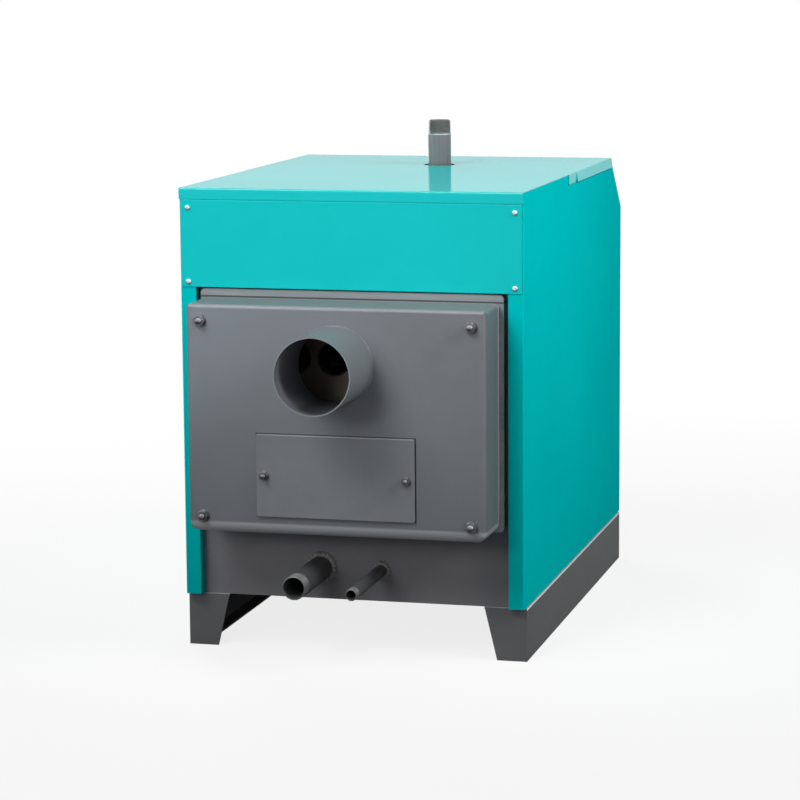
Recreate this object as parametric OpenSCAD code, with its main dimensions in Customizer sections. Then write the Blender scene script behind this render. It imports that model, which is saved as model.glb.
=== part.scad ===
// Oil boiler in a folded sheet casing, with its burner door at the front and
// its smoke box and flue spigot at the rear.
// X runs to the right of someone who faces the door, Y to the rear, Z up.
// The origin lies on the floor, midway between the foremost and rearmost points.
// All sizes are in millimetres.

/* [Casing] */
// Width over the two side panels
casing_w = 600; // [580:10:680]
// Depth from the front panel to the rear edge of the side panels
casing_d = 900; // [860:10:1100]
// Space between the insulation and the flat top
top_space = 124; // [118:2:150]
// Depth taken up by the slanted fascia
fascia_run = 110; // [100:5:130]
// Height taken up by the slanted fascia
fascia_drop = 102; // [96:2:120]
// Thickness of the casing sheet
casing_sheet = 1.5; // [1:0.25:2]
// Outer radius of a bend in the casing sheet
casing_bend = 3; // [2.5:0.5:5]
// Gap between the base rails and the lower edge of the casing
casing_gap = 2; // [1:0.5:4]
// Width of the flange that closes each side panel at the rear
rear_flange_w = 27; // [24:1:32]
// Depth of the return that runs from that flange to the boiler body
rear_return_d = 22; // [20:1:28]
// Width of the other inward folds of a side panel
fold_w = 18; // [14:1:20]
// Height of the rear lip of the top cover
top_lip_h = 19; // [16:1:26]
// Height of the side lips of the top cover
side_lip_h = 18; // [12:1:20]
// How far a side lip flares out on its way down
side_lip_flare = 2.5; // [1:0.5:4]
// Distance from the rear edge to the start of the side lips
side_lip_start = 376; // [300:5:450]
// Length of the upright first stretch of each side lip
side_lip_step = 70; // [40:5:100]
// Gap between the rear panel and the smoke box frame below it
rear_panel_gap = 2.5; // [2:0.5:6]

/* [Base] */
// Height of the base rails
base_h = 92; // [80:2:110]
// Sheet thickness of the rails
rail_sheet = 3; // [2.5:0.5:4]
// Distance of the rear feet from the rear edge of the casing
base_rear_inset = 18; // [10:1:30]
// Distance of the front feet from the front of the casing
base_front_inset = 6; // [4:1:20]
// How far a rail stands proud of the side panel
rail_proud = 1; // [0.5:0.5:3]
// Width of a foot and of the rail's top flange
rail_top_w = 74; // [66:1:90]
// Width of a foot where it meets the floor
rail_foot_w = 52; // [44:1:60]
// Width of the flange that lies on the floor
rail_bottom_w = 28; // [20:1:40]

/* [Boiler body] */
// Thickness of the insulation at the sides
insulation_t = 20; // [15:1:24]
// Thickness of the insulation on top
insulation_top_t = 24; // [15:1:26]
// Space between the upper tube row's axes and the top of the welded body
body_head = 74; // [66:1:80]
// Thickness of the body's wrapper sheet
wrapper_t = 4; // [3:0.5:6]
// Thickness of the front and rear tube plates
tube_plate_t = 5; // [4:0.5:8]
// Space between the front tube plate and the front panel
front_space = 30; // [28:1:36]
// Outer diameter of the furnace tube
furnace_od = 300; // [280:5:310]
// Wall of the furnace tube
furnace_t = 5; // [4:0.5:8]
// Water space under the furnace tube, down to the base
furnace_gap = 55; // [46:1:62]
// Water space behind the closed end of the furnace
furnace_back_gap = 80; // [60:5:120]
// Diameter of a stay behind the furnace
stay_d = 16; // [12:1:20]

/* [Smoke tubes] */
// Outer diameter of a smoke tube
tube_od = 60.3; // [54:0.3:63]
// Wall of a smoke tube
tube_t = 2.9; // [2.3:0.1:3.6]
// Smoke tubes in one row
tubes_in_row = 6; // [4:2:6]
// Distance between tube axes along a row
tube_pitch_x = 70; // [68:1:72]
// Distance between the two rows
tube_pitch_z = 68; // [66:1:70]
// Height of the lower row's axes above the top of the furnace tube
tube_gap = 63; // [58:1:65]
// Width of a turbulator strip
turbulator_w = 42; // [36:1:44]
// Thickness of a turbulator strip
turbulator_t = 1.5; // [1:0.25:2.5]
// Length of one zigzag of a turbulator
turbulator_pitch = 90; // [70:5:120]

/* [Smoke box] */
// Height of the smoke box cover's lower edge above the base
cover_rise = 133.5; // [130:0.5:136]
// Height of its upper edge above the upper tube row's axes
cover_head = 36.5; // [36.5:0.5:40]
// Reach of the cover behind the casing
cover_reach = 100; // [80:5:130]
// Sheet of the cover
cover_sheet = 3; // [2:0.5:4]
// Radius of its upper corners
cover_corner_r = 8; // [6:1:14]
// Radius of its lower corners
cover_low_corner_r = 20; // [14:1:24]
// Radius of the bend along its top and its sides
cover_edge_r = 7; // [5:1:12]
// Radius of the bend along its lower edge
cover_low_edge_r = 17; // [12:1:17]
// Gap between the smoke box frame and a rear flange of the casing
frame_gap = 8; // [5:1:12]
// How far the frame stands out beyond the cover at the sides
frame_lip_x = 7; // [5:1:10]
// How far the frame stands out above the cover
frame_lip_z = 14; // [11:1:16]
// Width of the side bars and of the lower bar of the frame
frame_bar = 14; // [12:1:16]
// Depth of the upper bar below the cover's upper edge
frame_seat = 6; // [4:0.5:6]
// Radius of the frame's corners
frame_corner_r = 8; // [4:1:14]
// Thickness of the rope gasket under the cover
cover_gasket_t = 4; // [2:0.5:6]
// Width of the rope gasket
cover_gasket_w = 6; // [5:1:9]
// Distance of a cover stud from the side of the cover
stud_inset_x = 25; // [23:1:30]
// Distance of a cover stud from the top or bottom of the cover
stud_inset_z = 28; // [24:1:32]
// Diameter of the cover studs
cover_stud_d = 10; // [8:2:12]
// Width across flats of their nuts
cover_nut_af = 17; // [17:1:19]
// Diameter of their washers
cover_washer_d = 21; // [20:1:24]

/* [Flue] */
// Outer diameter of the flue spigot
flue_od = 130; // [120:5:150]
// Wall of the spigot
flue_t = 2; // [1.5:0.5:3]
// Distance of the spigot below the upper edge of the cover
flue_margin = 32.5; // [26:0.5:40]
// Distance of the spigot's end from the rear edge of the casing
flue_reach = 238; // [200:2:260]

/* [Cleaning plate] */
// Width of the cleaning plate
clean_w = 274; // [240:2:300]
// Distance between the cleaning plate and the spigot above it
clean_flue_gap = 54.5; // [44:0.5:70]
// Thickness of the cleaning plate
clean_t = 3; // [2:0.5:5]
// Distance of the plate from the lower edge of the cover
clean_margin = 32; // [28:0.5:40]
// Overlap of the plate on the edge of its opening
clean_overlap = 26; // [24:1:32]
// Thickness of its gasket
clean_gasket_t = 2; // [1:0.5:3]
// Width of its gasket
clean_gasket_w = 7; // [5:0.5:7]
// Distance of a cleaning stud from the side of the plate
clean_stud_inset = 14; // [13:0.5:15]
// Diameter of the cleaning studs
clean_stud_d = 8; // [6:2:8]
// Width across flats of their nuts
clean_nut_af = 13; // [13:1:14]
// Diameter of their washers
clean_washer_d = 17; // [16:1:20]

/* [Water connections] */
// Outer diameter of the supply and return pipes
pipe_od = 42.4; // [33.7:0.1:48.3]
// Wall of the supply and return pipes
pipe_t = 3.2; // [2.6:0.1:4]
// Major diameter of their threaded ends
pipe_thread_d = 41.9; // [30:0.1:41.9]
// Length of their threaded ends
pipe_thread_l = 25; // [18:1:32]
// Distance of the supply pipe from the middle, to the left of the door
supply_offset = 16; // [0:1:40]
// Distance of the supply pipe from the rear edge of the casing
supply_depth = 577; // [500:5:620]
// Height of the supply pipe above the top cover
supply_rise = 83; // [60:1:120]
// Diameter of the hole for the supply pipe in the top cover
supply_hole_d = 58; // [52:1:70]
// Distance of the return pipe from the middle, to the right of the door
return_offset = 62; // [55:1:100]
// Reach of the return pipe behind the casing
return_reach = 147; // [120:1:180]
// Outer diameter of the drain pipe
drain_od = 21.3; // [17.2:0.1:26.9]
// Wall of the drain pipe
drain_t = 2.6; // [2:0.1:3.2]
// Major diameter of its threaded end
drain_thread_d = 20.9; // [16:0.1:20.9]
// Length of its threaded end
drain_thread_l = 18; // [12:1:24]
// Distance of the drain pipe from the middle, to the left of the door
drain_offset = 45.5; // [40:0.5:80]
// Reach of the drain pipe behind the casing
drain_reach = 177; // [140:1:200]
// Height of both lower pipes above the base
lower_pipe_rise = 54; // [48:1:60]
// Leg of the weld bead round a pipe
weld_leg = 6; // [3:0.5:7]
// Leg of the weld bead round the flue spigot
flue_weld_leg = 2; // [1:0.5:4]
// Distance of the sensor pocket from the middle, to the right of the door
pocket_offset = 120; // [80:5:160]
// Distance of the sensor pocket from the rear edge
pocket_depth = 640; // [600:5:680]
// Outer diameter of the pocket's socket
pocket_socket_d = 28; // [24:1:34]
// Outer diameter of the pocket's tube
pocket_tube_d = 16; // [12:1:18]
// Length of the pocket's tube below the wrapper
pocket_l = 34; // [28:1:36]

/* [Door] */
// Width of the front panel on each side of the furnace door
door_margin = 75; // [70:1:77]
// Height of the furnace door's lower edge above the base
door_rise = 25; // [22:1:27]
// Height of its upper edge above the upper tube row's axes
door_head = 49; // [47:1:51]
// Thickness of the door's steel plate and rim
door_sheet = 5; // [4:0.5:6]
// Thickness of the refractory board in the door
door_board_t = 30; // [24:1:40]
// Wall of the welded frame that the door closes on
door_frame_bar = 12; // [10:0.5:12]
// How far the frame stands out in front of the front panel
door_frame_proud = 15; // [13:1:20]
// Clearance round the frame in the front panel
door_panel_clear = 4; // [2:0.5:6]
// Thickness of the door's rope gasket
door_gasket_t = 4; // [2:0.5:6]
// Width of the door's rope gasket
door_gasket_w = 10; // [6:0.5:10]
// Diameter of the hinge pins
hinge_pin_d = 10; // [8:1:12]
// Diameter of the hinge knuckles
knuckle_d = 22; // [18:1:24]
// Height of one hinge knuckle
knuckle_h = 24; // [18:1:30]
// Distance of the hinge axis from the side of the door
hinge_offset = 16; // [16:1:20]
// Distance of each hinge from the middle of the door's height
hinge_spread = 170; // [140:5:200]

/* [Burner flange] */
// Bore for the burner's blast tube
burner_bore_d = 110; // [90:5:120]
// Diameter of the flange plate
burner_flange_d = 190; // [180:5:200]
// Thickness of the flange plate
burner_flange_t = 8; // [6:1:12]
// Pitch circle of the burner studs
burner_pcd = 150; // [150:5:160]
// Diameter of the burner studs
burner_stud_d = 8; // [8:1:10]
// Length of the burner studs in front of the flange
burner_stud_l = 25; // [20:1:40]
// Clearance round the blast tube behind the flange
burner_clear = 5; // [3:1:8]

/* [Sight port] */
// Distance of the sight port from the burner axis, each way
sight_offset = 92; // [90:1:94]
// Outer diameter of the sight tube
sight_tube_d = 34; // [30:1:36]
// Inner diameter of the sight tube
sight_bore_d = 24; // [20:1:25]
// Diameter of the sight glass
sight_glass_d = 28; // [27:0.5:29]
// Thickness of the sight glass
sight_glass_t = 4; // [3:0.5:5]
// Thickness of the flap in front of the glass
sight_flap_t = 3; // [2:0.5:4]

/* [Latch] */
// Distance of the latch pivot from the side of the door
latch_offset = 17; // [16:1:18]
// Diameter of the latch pivot
latch_pivot_d = 10; // [8:1:12]
// Thickness of the lever
latch_t = 8; // [6:1:10]
// Length of the lever's handle
latch_handle_l = 120; // [100:5:140]
// Diameter of the round grip on the handle
latch_grip_d = 26; // [22:1:30]
// Length of the grip
latch_grip_l = 24; // [18:1:24]
// Reach of the lever's tongue past its pivot
latch_tongue_l = 30; // [29:1:31]

/* [Controls] */
// Distance of the control plate from each end of the fascia
plate_margin = 65; // [50:5:70]
// Height of the control plate along the slope
plate_h = 96; // [88:2:110]
// Thickness of the control plate
plate_t = 2; // [1.5:0.5:3]
// Depth of the control box behind the fascia
box_d = 50; // [44:1:50]
// Height of the control box along the slope
box_h = 82; // [76:2:84]
// Diameter of the thermostat knob
knob_d = 44; // [36:2:50]
// Height of the thermostat knob
knob_h = 18; // [14:1:22]
// Diameter of the thermometer's bezel
gauge_d = 62; // [54:2:66]
// Width of a rocker switch along the fascia
switch_w = 24; // [22:1:26]
// Height of a rocker switch along the slope
switch_h = 34; // [30:1:38]
// Distance of the power switch from the end of the control plate
power_inset = 35; // [30:1:40]
// Distance between the power switch and the pump switch
switch_pitch = 45; // [40:1:50]
// Tilt of a rocker to either side
rocker_tilt = 9; // [6:1:10]
// Diameter of an indicator lamp
lamp_d = 12; // [10:1:14]
// Distance of the lamps from the pump switch, towards the middle
lamp_pitch = 65; // [55:1:75]
// Distance between the two lamps along the slope
lamp_spread = 32; // [26:1:40]
// Distance of the safety thermostat from the other end of the plate
safety_inset = 45; // [35:1:55]
// Diameter of the safety thermostat's collar
safety_collar_d = 26; // [22:1:30]
// Diameter of its reset button
reset_d = 10; // [8:0.5:12]
// Travel of the reset button
reset_travel = 3; // [2:0.5:4]
// Height of the cable glands above the opening of the front panel
gland_rise = 34; // [28:1:36]
// Diameter of a cable gland's dome
gland_d = 22; // [18:1:24]

/* [Hidden] */
$fn = 64;
// Clearance of a pin that turns in its bore
pin_fit = 0.06;
// Length of a hinge pin below its lug, and the height of its head
hinge_pin_tail = 3;
// How much wider than the pin its head is
hinge_pin_head = 6;
// Depth of the arm that joins a door knuckle to the door
knuckle_arm = 10;
// Diameter of the root of a burner stud
burner_core_d = burner_stud_d - 1.4;
// How far the sight tube stands out in front of the door
sight_proud = 12;
// Height of the flap's pivot above the sight port
sight_pivot_rise = 27;
// Diameter of the flap's pivot post
sight_post_d = 6;
// Length of the flap's finger tab
sight_tab_l = 6;
// Diameter of the latch lever's boss
latch_boss_d = 24;
// Depth of the latch bracket
latch_bracket_t = 10;
// Angle of the tongue above the horizontal while the latch is open
latch_rest_angle = 60;
// Width of the tongue at its tip, and half the width of the handle's end
latch_tip_w = 10;
// Height and sheet of the keeper, and the length of its hook
latch_keeper_h = 24;
latch_keeper_t = 7;
latch_hook_l = 12;
// Thermostat bush and spindle
bush_d = 10;
bush_proud = 3;
spindle_d = 6;
spindle_l = 12;
knob_skirt = 4;
knob_mark_w = 2;
groove_share = 0.7;
// Thermometer case, bezel, pivot post and pointer
gauge_case_d = gauge_d - 8;
gauge_wall = 2;
bezel_h = 8;
gauge_glass_t = 2;
gauge_post_d = 1.6;
pointer_t = 0.8;
pointer_w = 1.4;
pointer_l = 20;
pointer_tail = 6;
pointer_rest_angle = 120;
// Switch body, rim and rocker
switch_rim = 3;
switch_rim_h = 2;
switch_body_w = switch_w - switch_rim;
switch_body_h = switch_h - switch_rim;
switch_wall = 1.5;
switch_body_d = 22;
switch_well_d = 12;
rocker_pin_d = 3;
rocker_clear = 0.9;
rocker_top = 3;
// Depth of the bodies behind the fascia
control_body_d = 28;
plate_corner_r = 6;
box_inset = 10;
lamp_lens_share = 0.6;
safety_body_d = 20;
safety_collar_h = 5;
safety_taper = 4;
reset_l = 10;
// Cable glands and their places
gland_thread_d = 19.8;
gland_thread_l = 9;
gland_hex_d = 27;
gland_hex_h = 5;
gland_taper = 6;
gland_bore_d = 11;
gland_offset = 150;
gland_pitch = 40;
// Clearance of a part that is fitted and stays still
seat_fit = 0.05;
// Gap between moving faces that slide past each other
run_gap = 0.3;
// Clearance of a bolt or screw in its hole
bolt_fit = 0.3;
// Overrun of a cut past the face that it opens
over = 1;
// Least radius of an inner corner of the cover's gasket
tight_r = 1;
// Gap between the insulation and its neighbours
insulation_gap = 0.5;

furnace_z = base_h + furnace_gap + furnace_od / 2;
tube_z = furnace_z + furnace_od / 2 + tube_gap;
top_tube_z = tube_z + tube_pitch_z;
body_top = top_tube_z + body_head;
body_h = body_top - base_h;
casing_h = body_top + insulation_top_t + top_space;
half_w = casing_w / 2;
door_w = casing_w - 2 * door_margin;
door_base = base_h + door_rise;
door_h = top_tube_z + door_head - door_base;
front_reach = door_frame_proud + door_gasket_t + door_board_t + door_sheet
    + burner_flange_t + burner_stud_l;
rear_y = (casing_d + front_reach - flue_reach) / 2;
casing_base = base_h + casing_gap;

// The fascia's slope, as a unit vector across it in depth and height
slope_l = sqrt(fascia_run * fascia_run + fascia_drop * fascia_drop);
slope_angle = atan2(fascia_drop, fascia_run);
slope_out = [fascia_drop / slope_l, fascia_run / slope_l];
slope_top_d = casing_d - fascia_run;
slope_base_z = casing_h - fascia_drop;

body_w = casing_w - 2 * (casing_sheet + insulation_t + 2 * insulation_gap);
body_front_d = casing_d - casing_sheet - front_space;
furnace_end_d = rear_return_d + tube_plate_t + furnace_back_gap;
tube_places = [for (row = [0, 1]) for (i = [0 : tubes_in_row - 1])
    [(i - (tubes_in_row - 1) / 2) * tube_pitch_x, tube_z + row * tube_pitch_z]];
stay_circle_r = furnace_od / 3;
stay_places = [for (a = [90, 210, 330])
    [stay_circle_r * cos(a), furnace_z + stay_circle_r * sin(a)]];

cover_w = casing_w - 2 * (rear_flange_w + frame_gap + frame_lip_x);
cover_base = base_h + cover_rise;
cover_top = top_tube_z + cover_head;
cover_h = cover_top - cover_base;
frame_w = cover_w + 2 * frame_lip_x;
frame_h = cover_h + frame_lip_z;
frame_front_d = rear_return_d;
frame_rear_d = cover_gasket_t / 2;
rear_panel_base = cover_top + frame_lip_z + rear_panel_gap;
cover_stud_places = [for (sx = [-1, 1])
    for (z = [cover_base + stud_inset_z, cover_top - stud_inset_z])
    [sx * (cover_w / 2 - stud_inset_x), z]];
flue_z = cover_top - flue_margin - flue_od / 2;
clean_base = cover_base + clean_margin;
clean_h = flue_z - flue_od / 2 - clean_flue_gap - clean_base;
clean_z = clean_base + clean_h / 2;
clean_stud_places = [for (sx = [-1, 1]) [sx * (clean_w / 2 - clean_stud_inset), clean_z]];
clean_face_reach = cover_reach + clean_gasket_t + clean_t;
lower_pipe_z = base_h + lower_pipe_rise;

// Depths of the door's layers, measured from the rear edge of the casing
door_seat_d = casing_d + door_frame_proud;
door_board_d = door_seat_d + door_gasket_t;
door_plate_d = door_board_d + door_board_t;
door_face_d = door_plate_d + door_sheet;
flange_face_d = door_face_d + burner_flange_t;
door_z = door_base + door_h / 2;
hinge_x = -(door_w / 2 + hinge_offset);
hinge_d = door_board_d + (door_face_d - door_board_d) / 2;
latch_x = door_w / 2 + latch_offset;
sight_x = sight_offset;
sight_z = furnace_z + sight_offset;

// Places along the control plate: the thermometer is midway between the knob,
// in the middle, and the safety thermostat
plate_w = casing_w - 2 * plate_margin;
power_offset = plate_w / 2 - power_inset;
pump_offset = power_offset - switch_pitch;
lamp_offset = pump_offset - lamp_pitch;
safety_offset = plate_w / 2 - safety_inset;
gauge_offset = safety_offset / 2;

gland_places = [for (i = [0, 1])
    [gland_offset + i * gland_pitch, door_z + door_h / 2 + gland_rise]];

// Y of a plane at a depth that is measured forward from the rear edge
function fwd(d) = rear_y - d;

// Heights and depths where a sheet line parallel to the slope meets the front
// line and the top line that lie the same distance s inside the casing
function slope_z(s) = slope_base_z - s * (1 - slope_out[0]) / slope_out[1];
function slope_d(s) = slope_top_d - s * (1 - slope_out[1]) / slope_out[0];

// Height of a screw head of a given diameter
function pan_h(d) = d * pan_h_share;
pan_h_share = 0.38;
screw_head_d = 8.5;
screw_shank_d = 4;
screw_shank_l = 8;
screw_inset = 15;
screw_drop = 34;
screw_rise = 9;
nut_h_share = 0.8;
washer_t = 2;
stud_tail = 6;

teal = [0.0, 0.72, 0.71];
grey = [0.43, 0.44, 0.46];
dark = [0.27, 0.27, 0.28];
steel = [0.72, 0.73, 0.74];

// Block between two opposite corners
module block(a, b)
    translate(a) cube(b - a);

// Side view outline in depth and height, extruded across X
module across(x0, x1)
    translate([x1, rear_y, 0]) rotate([90, 0, -90]) linear_extrude(x1 - x0) children();

// Upright outline in X and height, extruded from a depth towards the rear
module along(front_d, rear_d)
    translate([0, fwd(rear_d), 0]) rotate([90, 0, 0])
        linear_extrude(front_d - rear_d) children();

// Places children at a point of a vertical face, with Z towards the rear
module facing_rear(x, d, z)
    translate([x, fwd(d), z]) rotate([-90, 0, 0]) children();

// Places children at a point of a vertical face, with Z towards the front
module facing_front(x, d, z)
    translate([x, fwd(d), z]) rotate([90, 0, 0]) children();

// Places children on the middle of the fascia, with Z out of it and Y up it
module on_fascia()
    translate([0, fwd(casing_d - fascia_run / 2), casing_h - fascia_drop / 2])
        rotate([slope_angle, 0, 0]) children();

// Rectangle with round corners, centred
module round_rect(w, h, r) {
    square([w - 2 * r, h], center = true);
    square([w, h - 2 * r], center = true);
    for (sx = [-1, 1]) for (sy = [-1, 1])
        translate([sx * (w / 2 - r), sy * (h / 2 - r)]) circle(r);
}

// Pan head screw, head upwards from z = 0 and shank below
module pan_screw() {
    rotate_extrude() intersection() {
        translate([0, pan_h(screw_head_d) - screw_head_d]) circle(screw_head_d);
        square([screw_head_d / 2, pan_h(screw_head_d)]);
    }
    translate([0, 0, -screw_shank_l]) cylinder(d = screw_shank_d, h = screw_shank_l);
}

// Hexagon nut with a 30 degree chamfer on top and a bore for its stud
module hex_nut(af, bore_d, h)
    difference() {
        intersection() {
            cylinder(d = af / cos(30), h = h, $fn = 6);
            cylinder(d1 = af + 2 * h / tan(30), d2 = af, h = h);
        }
        translate([0, 0, -over]) cylinder(d = bore_d, h = h + 2 * over);
    }

// Flat washer
module washer(outer_d, bore_d, t)
    difference() {
        cylinder(d = outer_d, h = t);
        translate([0, 0, -over]) cylinder(d = bore_d, h = t + 2 * over);
    }

// Plain tube from z = 0 upwards
module tube(outer_d, wall, l)
    difference() {
        cylinder(d = outer_d, h = l);
        translate([0, 0, -over]) cylinder(d = outer_d - 2 * wall, h = l + 2 * over);
    }

// Round weld bead at the root of a pipe, standing on z = 0
module weld_bead(d, leg)
    rotate_extrude() translate([d / 2, 0]) intersection() {
        circle(leg);
        square(leg);
    }

// Pipe with a threaded end, from its inner end at z = 0 upwards, with a weld
// bead at the height where it leaves its plate
module threaded_pipe(outer_d, wall, l, thread_d, thread_l, root_z) {
    difference() {
        union() {
            cylinder(d = outer_d, h = l - thread_l);
            cylinder(d = thread_d, h = l);
            translate([0, 0, root_z]) weld_bead(outer_d, weld_leg);
        }
        translate([0, 0, -over]) cylinder(d = outer_d - 2 * wall, h = l + 2 * over);
    }
}

// Side outline of the casing, drawn a distance s inside its outer faces,
// with the rear and the lower edge moved in by e
module casing_outline(s, e)
    polygon([[e, casing_base + e], [casing_d - s, casing_base + e],
        [casing_d - s, slope_z(s)], [slope_d(s), casing_h - s], [e, casing_h - s]]);

// Plan of a side panel on the +X side, in X and depth, with rounded bends
module side_panel_plan() {
    last_d = casing_d - casing_sheet;
    difference() {
        union() {
            translate([half_w - rear_flange_w, 0])
                square([rear_flange_w - casing_bend, last_d]);
            translate([half_w - rear_flange_w, casing_bend])
                square([rear_flange_w, last_d - casing_bend]);
            translate([half_w - casing_bend, casing_bend]) circle(casing_bend);
        }
        inner_r = casing_bend - casing_sheet;
        translate([half_w - rear_flange_w + casing_sheet, casing_sheet])
            square([rear_flange_w - casing_sheet - casing_bend, last_d]);
        translate([half_w - rear_flange_w + casing_sheet, casing_bend])
            square([rear_flange_w - 2 * casing_sheet, last_d]);
        translate([half_w - casing_bend, casing_bend]) circle(inner_r);
        translate([half_w - rear_flange_w - over, rear_return_d])
            square([casing_sheet + 2 * over, last_d]);
    }
}

// Screw places on the rear flanges, front folds and fascia ends
rear_screw_places = [for (sx = [-1, 1]) for (z = [casing_h - screw_drop,
    rear_panel_base + screw_rise]) [sx * (half_w - screw_inset), z]];
front_screw_places = [for (sx = [-1, 1]) for (z = [casing_base + screw_drop,
    slope_base_z - screw_drop]) [sx * (half_w - fold_w / 2), z]];
fascia_screw_places = [for (sx = [-1, 1]) for (sy = [-1, 1])
    [sx * (half_w - fold_w / 2), sy * (plate_h / 2 - screw_inset)]];

module screw_holes(d) {
    for (p = rear_screw_places) facing_rear(p[0], 2 * screw_shank_l, p[1])
        cylinder(d = d, h = 4 * screw_shank_l);
    for (p = front_screw_places) facing_front(p[0], casing_d - 2 * screw_shank_l, p[1])
        cylinder(d = d, h = 4 * screw_shank_l);
    on_fascia() for (p = fascia_screw_places)
        translate([p[0], p[1], -2 * screw_shank_l])
            cylinder(d = d, h = 4 * screw_shank_l);
}

module side_panel()
    color(teal) difference() {
        union() {
            intersection() {
                translate([0, rear_y, casing_base]) mirror([0, 1, 0])
                    linear_extrude(casing_h - casing_sheet - casing_base)
                        side_panel_plan();
                across(0, half_w) casing_outline(casing_sheet, 0);
            }
            across(half_w - fold_w, half_w - casing_sheet / 2) difference() {
                casing_outline(casing_sheet, 0);
                casing_outline(2 * casing_sheet, casing_sheet);
                translate([-over, 0]) square([casing_sheet + 2 * over, casing_h]);
            }
        }
        screw_holes(screw_shank_d + 2 * seat_fit);
    }

module side_panel_right() side_panel();

module side_panel_left() mirror([1, 0, 0]) side_panel();

// Section of the top cover in depth and height: the flat top, the rear bend
// and the rear lip
module top_cover_section() {
    bend_d = casing_bend - 2 * casing_sheet;
    polygon([[bend_d, casing_h - casing_sheet],
        [slope_d(casing_sheet), casing_h - casing_sheet],
        [slope_top_d, casing_h], [bend_d, casing_h]]);
    translate([-2 * casing_sheet, casing_h - top_lip_h])
        square([casing_sheet, top_lip_h - casing_bend]);
    translate([bend_d, casing_h - casing_bend]) intersection() {
        difference() {
            circle(casing_bend);
            circle(casing_bend - casing_sheet);
        }
        translate([-casing_bend, 0]) square(casing_bend);
    }
}

// Section of a side lip in X and height, moved out by a flare at its lower edge
module side_lip_section(flare)
    polygon([[half_w - casing_sheet, casing_h - casing_sheet],
        [half_w - casing_sheet, casing_h], [half_w + casing_sheet, casing_h],
        [half_w + casing_sheet + flare, casing_h - side_lip_h],
        [half_w + flare, casing_h - side_lip_h], [half_w, casing_h - casing_sheet]]);

module top_cover()
    color(teal) difference() {
        union() {
            across(-half_w, half_w) top_cover_section();
            for (sx = [0, 1]) mirror([sx, 0, 0]) {
                along(slope_d(casing_sheet), side_lip_start + side_lip_step)
                    side_lip_section(side_lip_flare);
                along(side_lip_start + side_lip_step, side_lip_start)
                    side_lip_section(0);
            }
        }
        translate([-supply_offset, fwd(supply_depth), casing_h - 2 * casing_sheet])
            cylinder(d = supply_hole_d, h = 4 * casing_sheet);
    }

module rear_upper_panel()
    color(teal) difference() {
        block([-half_w + casing_bend, fwd(0), rear_panel_base],
            [half_w - casing_bend, fwd(-casing_sheet), casing_h - casing_bend]);
        screw_holes(screw_shank_d + 2 * seat_fit);
    }

module front_panel()
    color(teal) difference() {
        across(-half_w, half_w)
            polygon([[casing_d - casing_sheet, casing_base], [casing_d, casing_base],
                [casing_d, slope_base_z],
                [casing_d - casing_sheet, slope_z(casing_sheet)]]);
        along(casing_d + over, casing_d - casing_sheet - over) translate([0, door_z])
            square([door_w + 2 * door_panel_clear, door_h + 2 * door_panel_clear],
                center = true);
        for (p = gland_places) facing_front(p[0], casing_d - casing_sheet - over, p[1])
            cylinder(d = gland_thread_d + 2 * seat_fit, h = casing_sheet + 2 * over);
        screw_holes(screw_shank_d + 2 * seat_fit);
    }

module fascia()
    color(teal) difference() {
        across(-half_w, half_w)
            polygon([[casing_d, slope_base_z], [slope_top_d, casing_h],
                [slope_d(casing_sheet), casing_h - casing_sheet],
                [casing_d - casing_sheet, slope_z(casing_sheet)]]);
        on_fascia() control_holes();
        screw_holes(screw_shank_d + 2 * seat_fit);
    }

module casing_screws()
    color(steel) {
        for (p = rear_screw_places) facing_rear(p[0], -casing_sheet, p[1]) pan_screw();
        for (p = front_screw_places) facing_front(p[0], casing_d, p[1]) pan_screw();
        on_fascia() for (p = fascia_screw_places) translate([p[0], p[1]]) pan_screw();
    }

// Rail on the +X side: a channel with a tapered foot closing each end
module base_rail() {
    outer = half_w + rail_proud;
    rear_d = base_rear_inset;
    front_d = casing_d - base_front_inset;
    color(dark) {
        along(front_d, rear_d)
            polygon([[outer, 0], [outer, base_h], [outer - rail_top_w, base_h],
                [outer - rail_top_w, base_h - rail_sheet],
                [outer - rail_sheet, base_h - rail_sheet],
                [outer - rail_sheet, rail_sheet], [outer - rail_bottom_w, rail_sheet],
                [outer - rail_bottom_w, 0]]);
        for (d = [rear_d + rail_sheet, front_d]) along(d, d - rail_sheet)
            polygon([[outer, 0], [outer, base_h], [outer - rail_top_w, base_h],
                [outer - rail_foot_w, 0]]);
    }
}

module base_rail_right() base_rail();

module base_rail_left() mirror([1, 0, 0]) base_rail();

module body_wrapper()
    color(dark) difference() {
        along(body_front_d - tube_plate_t, rear_return_d + tube_plate_t)
            translate([0, base_h + body_h / 2]) difference() {
                square([body_w, body_h], center = true);
                square([body_w - 2 * wrapper_t, body_h - 2 * wrapper_t],
                    center = true);
            }
        translate([-supply_offset, fwd(supply_depth), body_top - 2 * wrapper_t])
            cylinder(d = pipe_od + 2 * seat_fit, h = 4 * wrapper_t);
        translate([pocket_offset, fwd(pocket_depth), body_top - 2 * wrapper_t])
            cylinder(d = pocket_tube_d + 2 * seat_fit, h = 4 * wrapper_t);
    }

// Outline of a tube plate with a hole for each smoke tube
module tube_plate_outline()
    difference() {
        translate([0, base_h + body_h / 2]) square([body_w, body_h], center = true);
        for (p = tube_places) translate(p) circle(d = tube_od + 2 * seat_fit);
    }

module rear_tube_plate()
    color(grey) along(rear_return_d + tube_plate_t, rear_return_d) difference() {
        tube_plate_outline();
        translate([return_offset, lower_pipe_z]) circle(d = pipe_od + 2 * seat_fit);
        translate([-drain_offset, lower_pipe_z]) circle(d = drain_od + 2 * seat_fit);
    }

module front_tube_plate()
    color(grey) along(body_front_d, body_front_d - tube_plate_t) difference() {
        tube_plate_outline();
        translate([0, furnace_z]) circle(d = furnace_od + 2 * seat_fit);
    }

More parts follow.
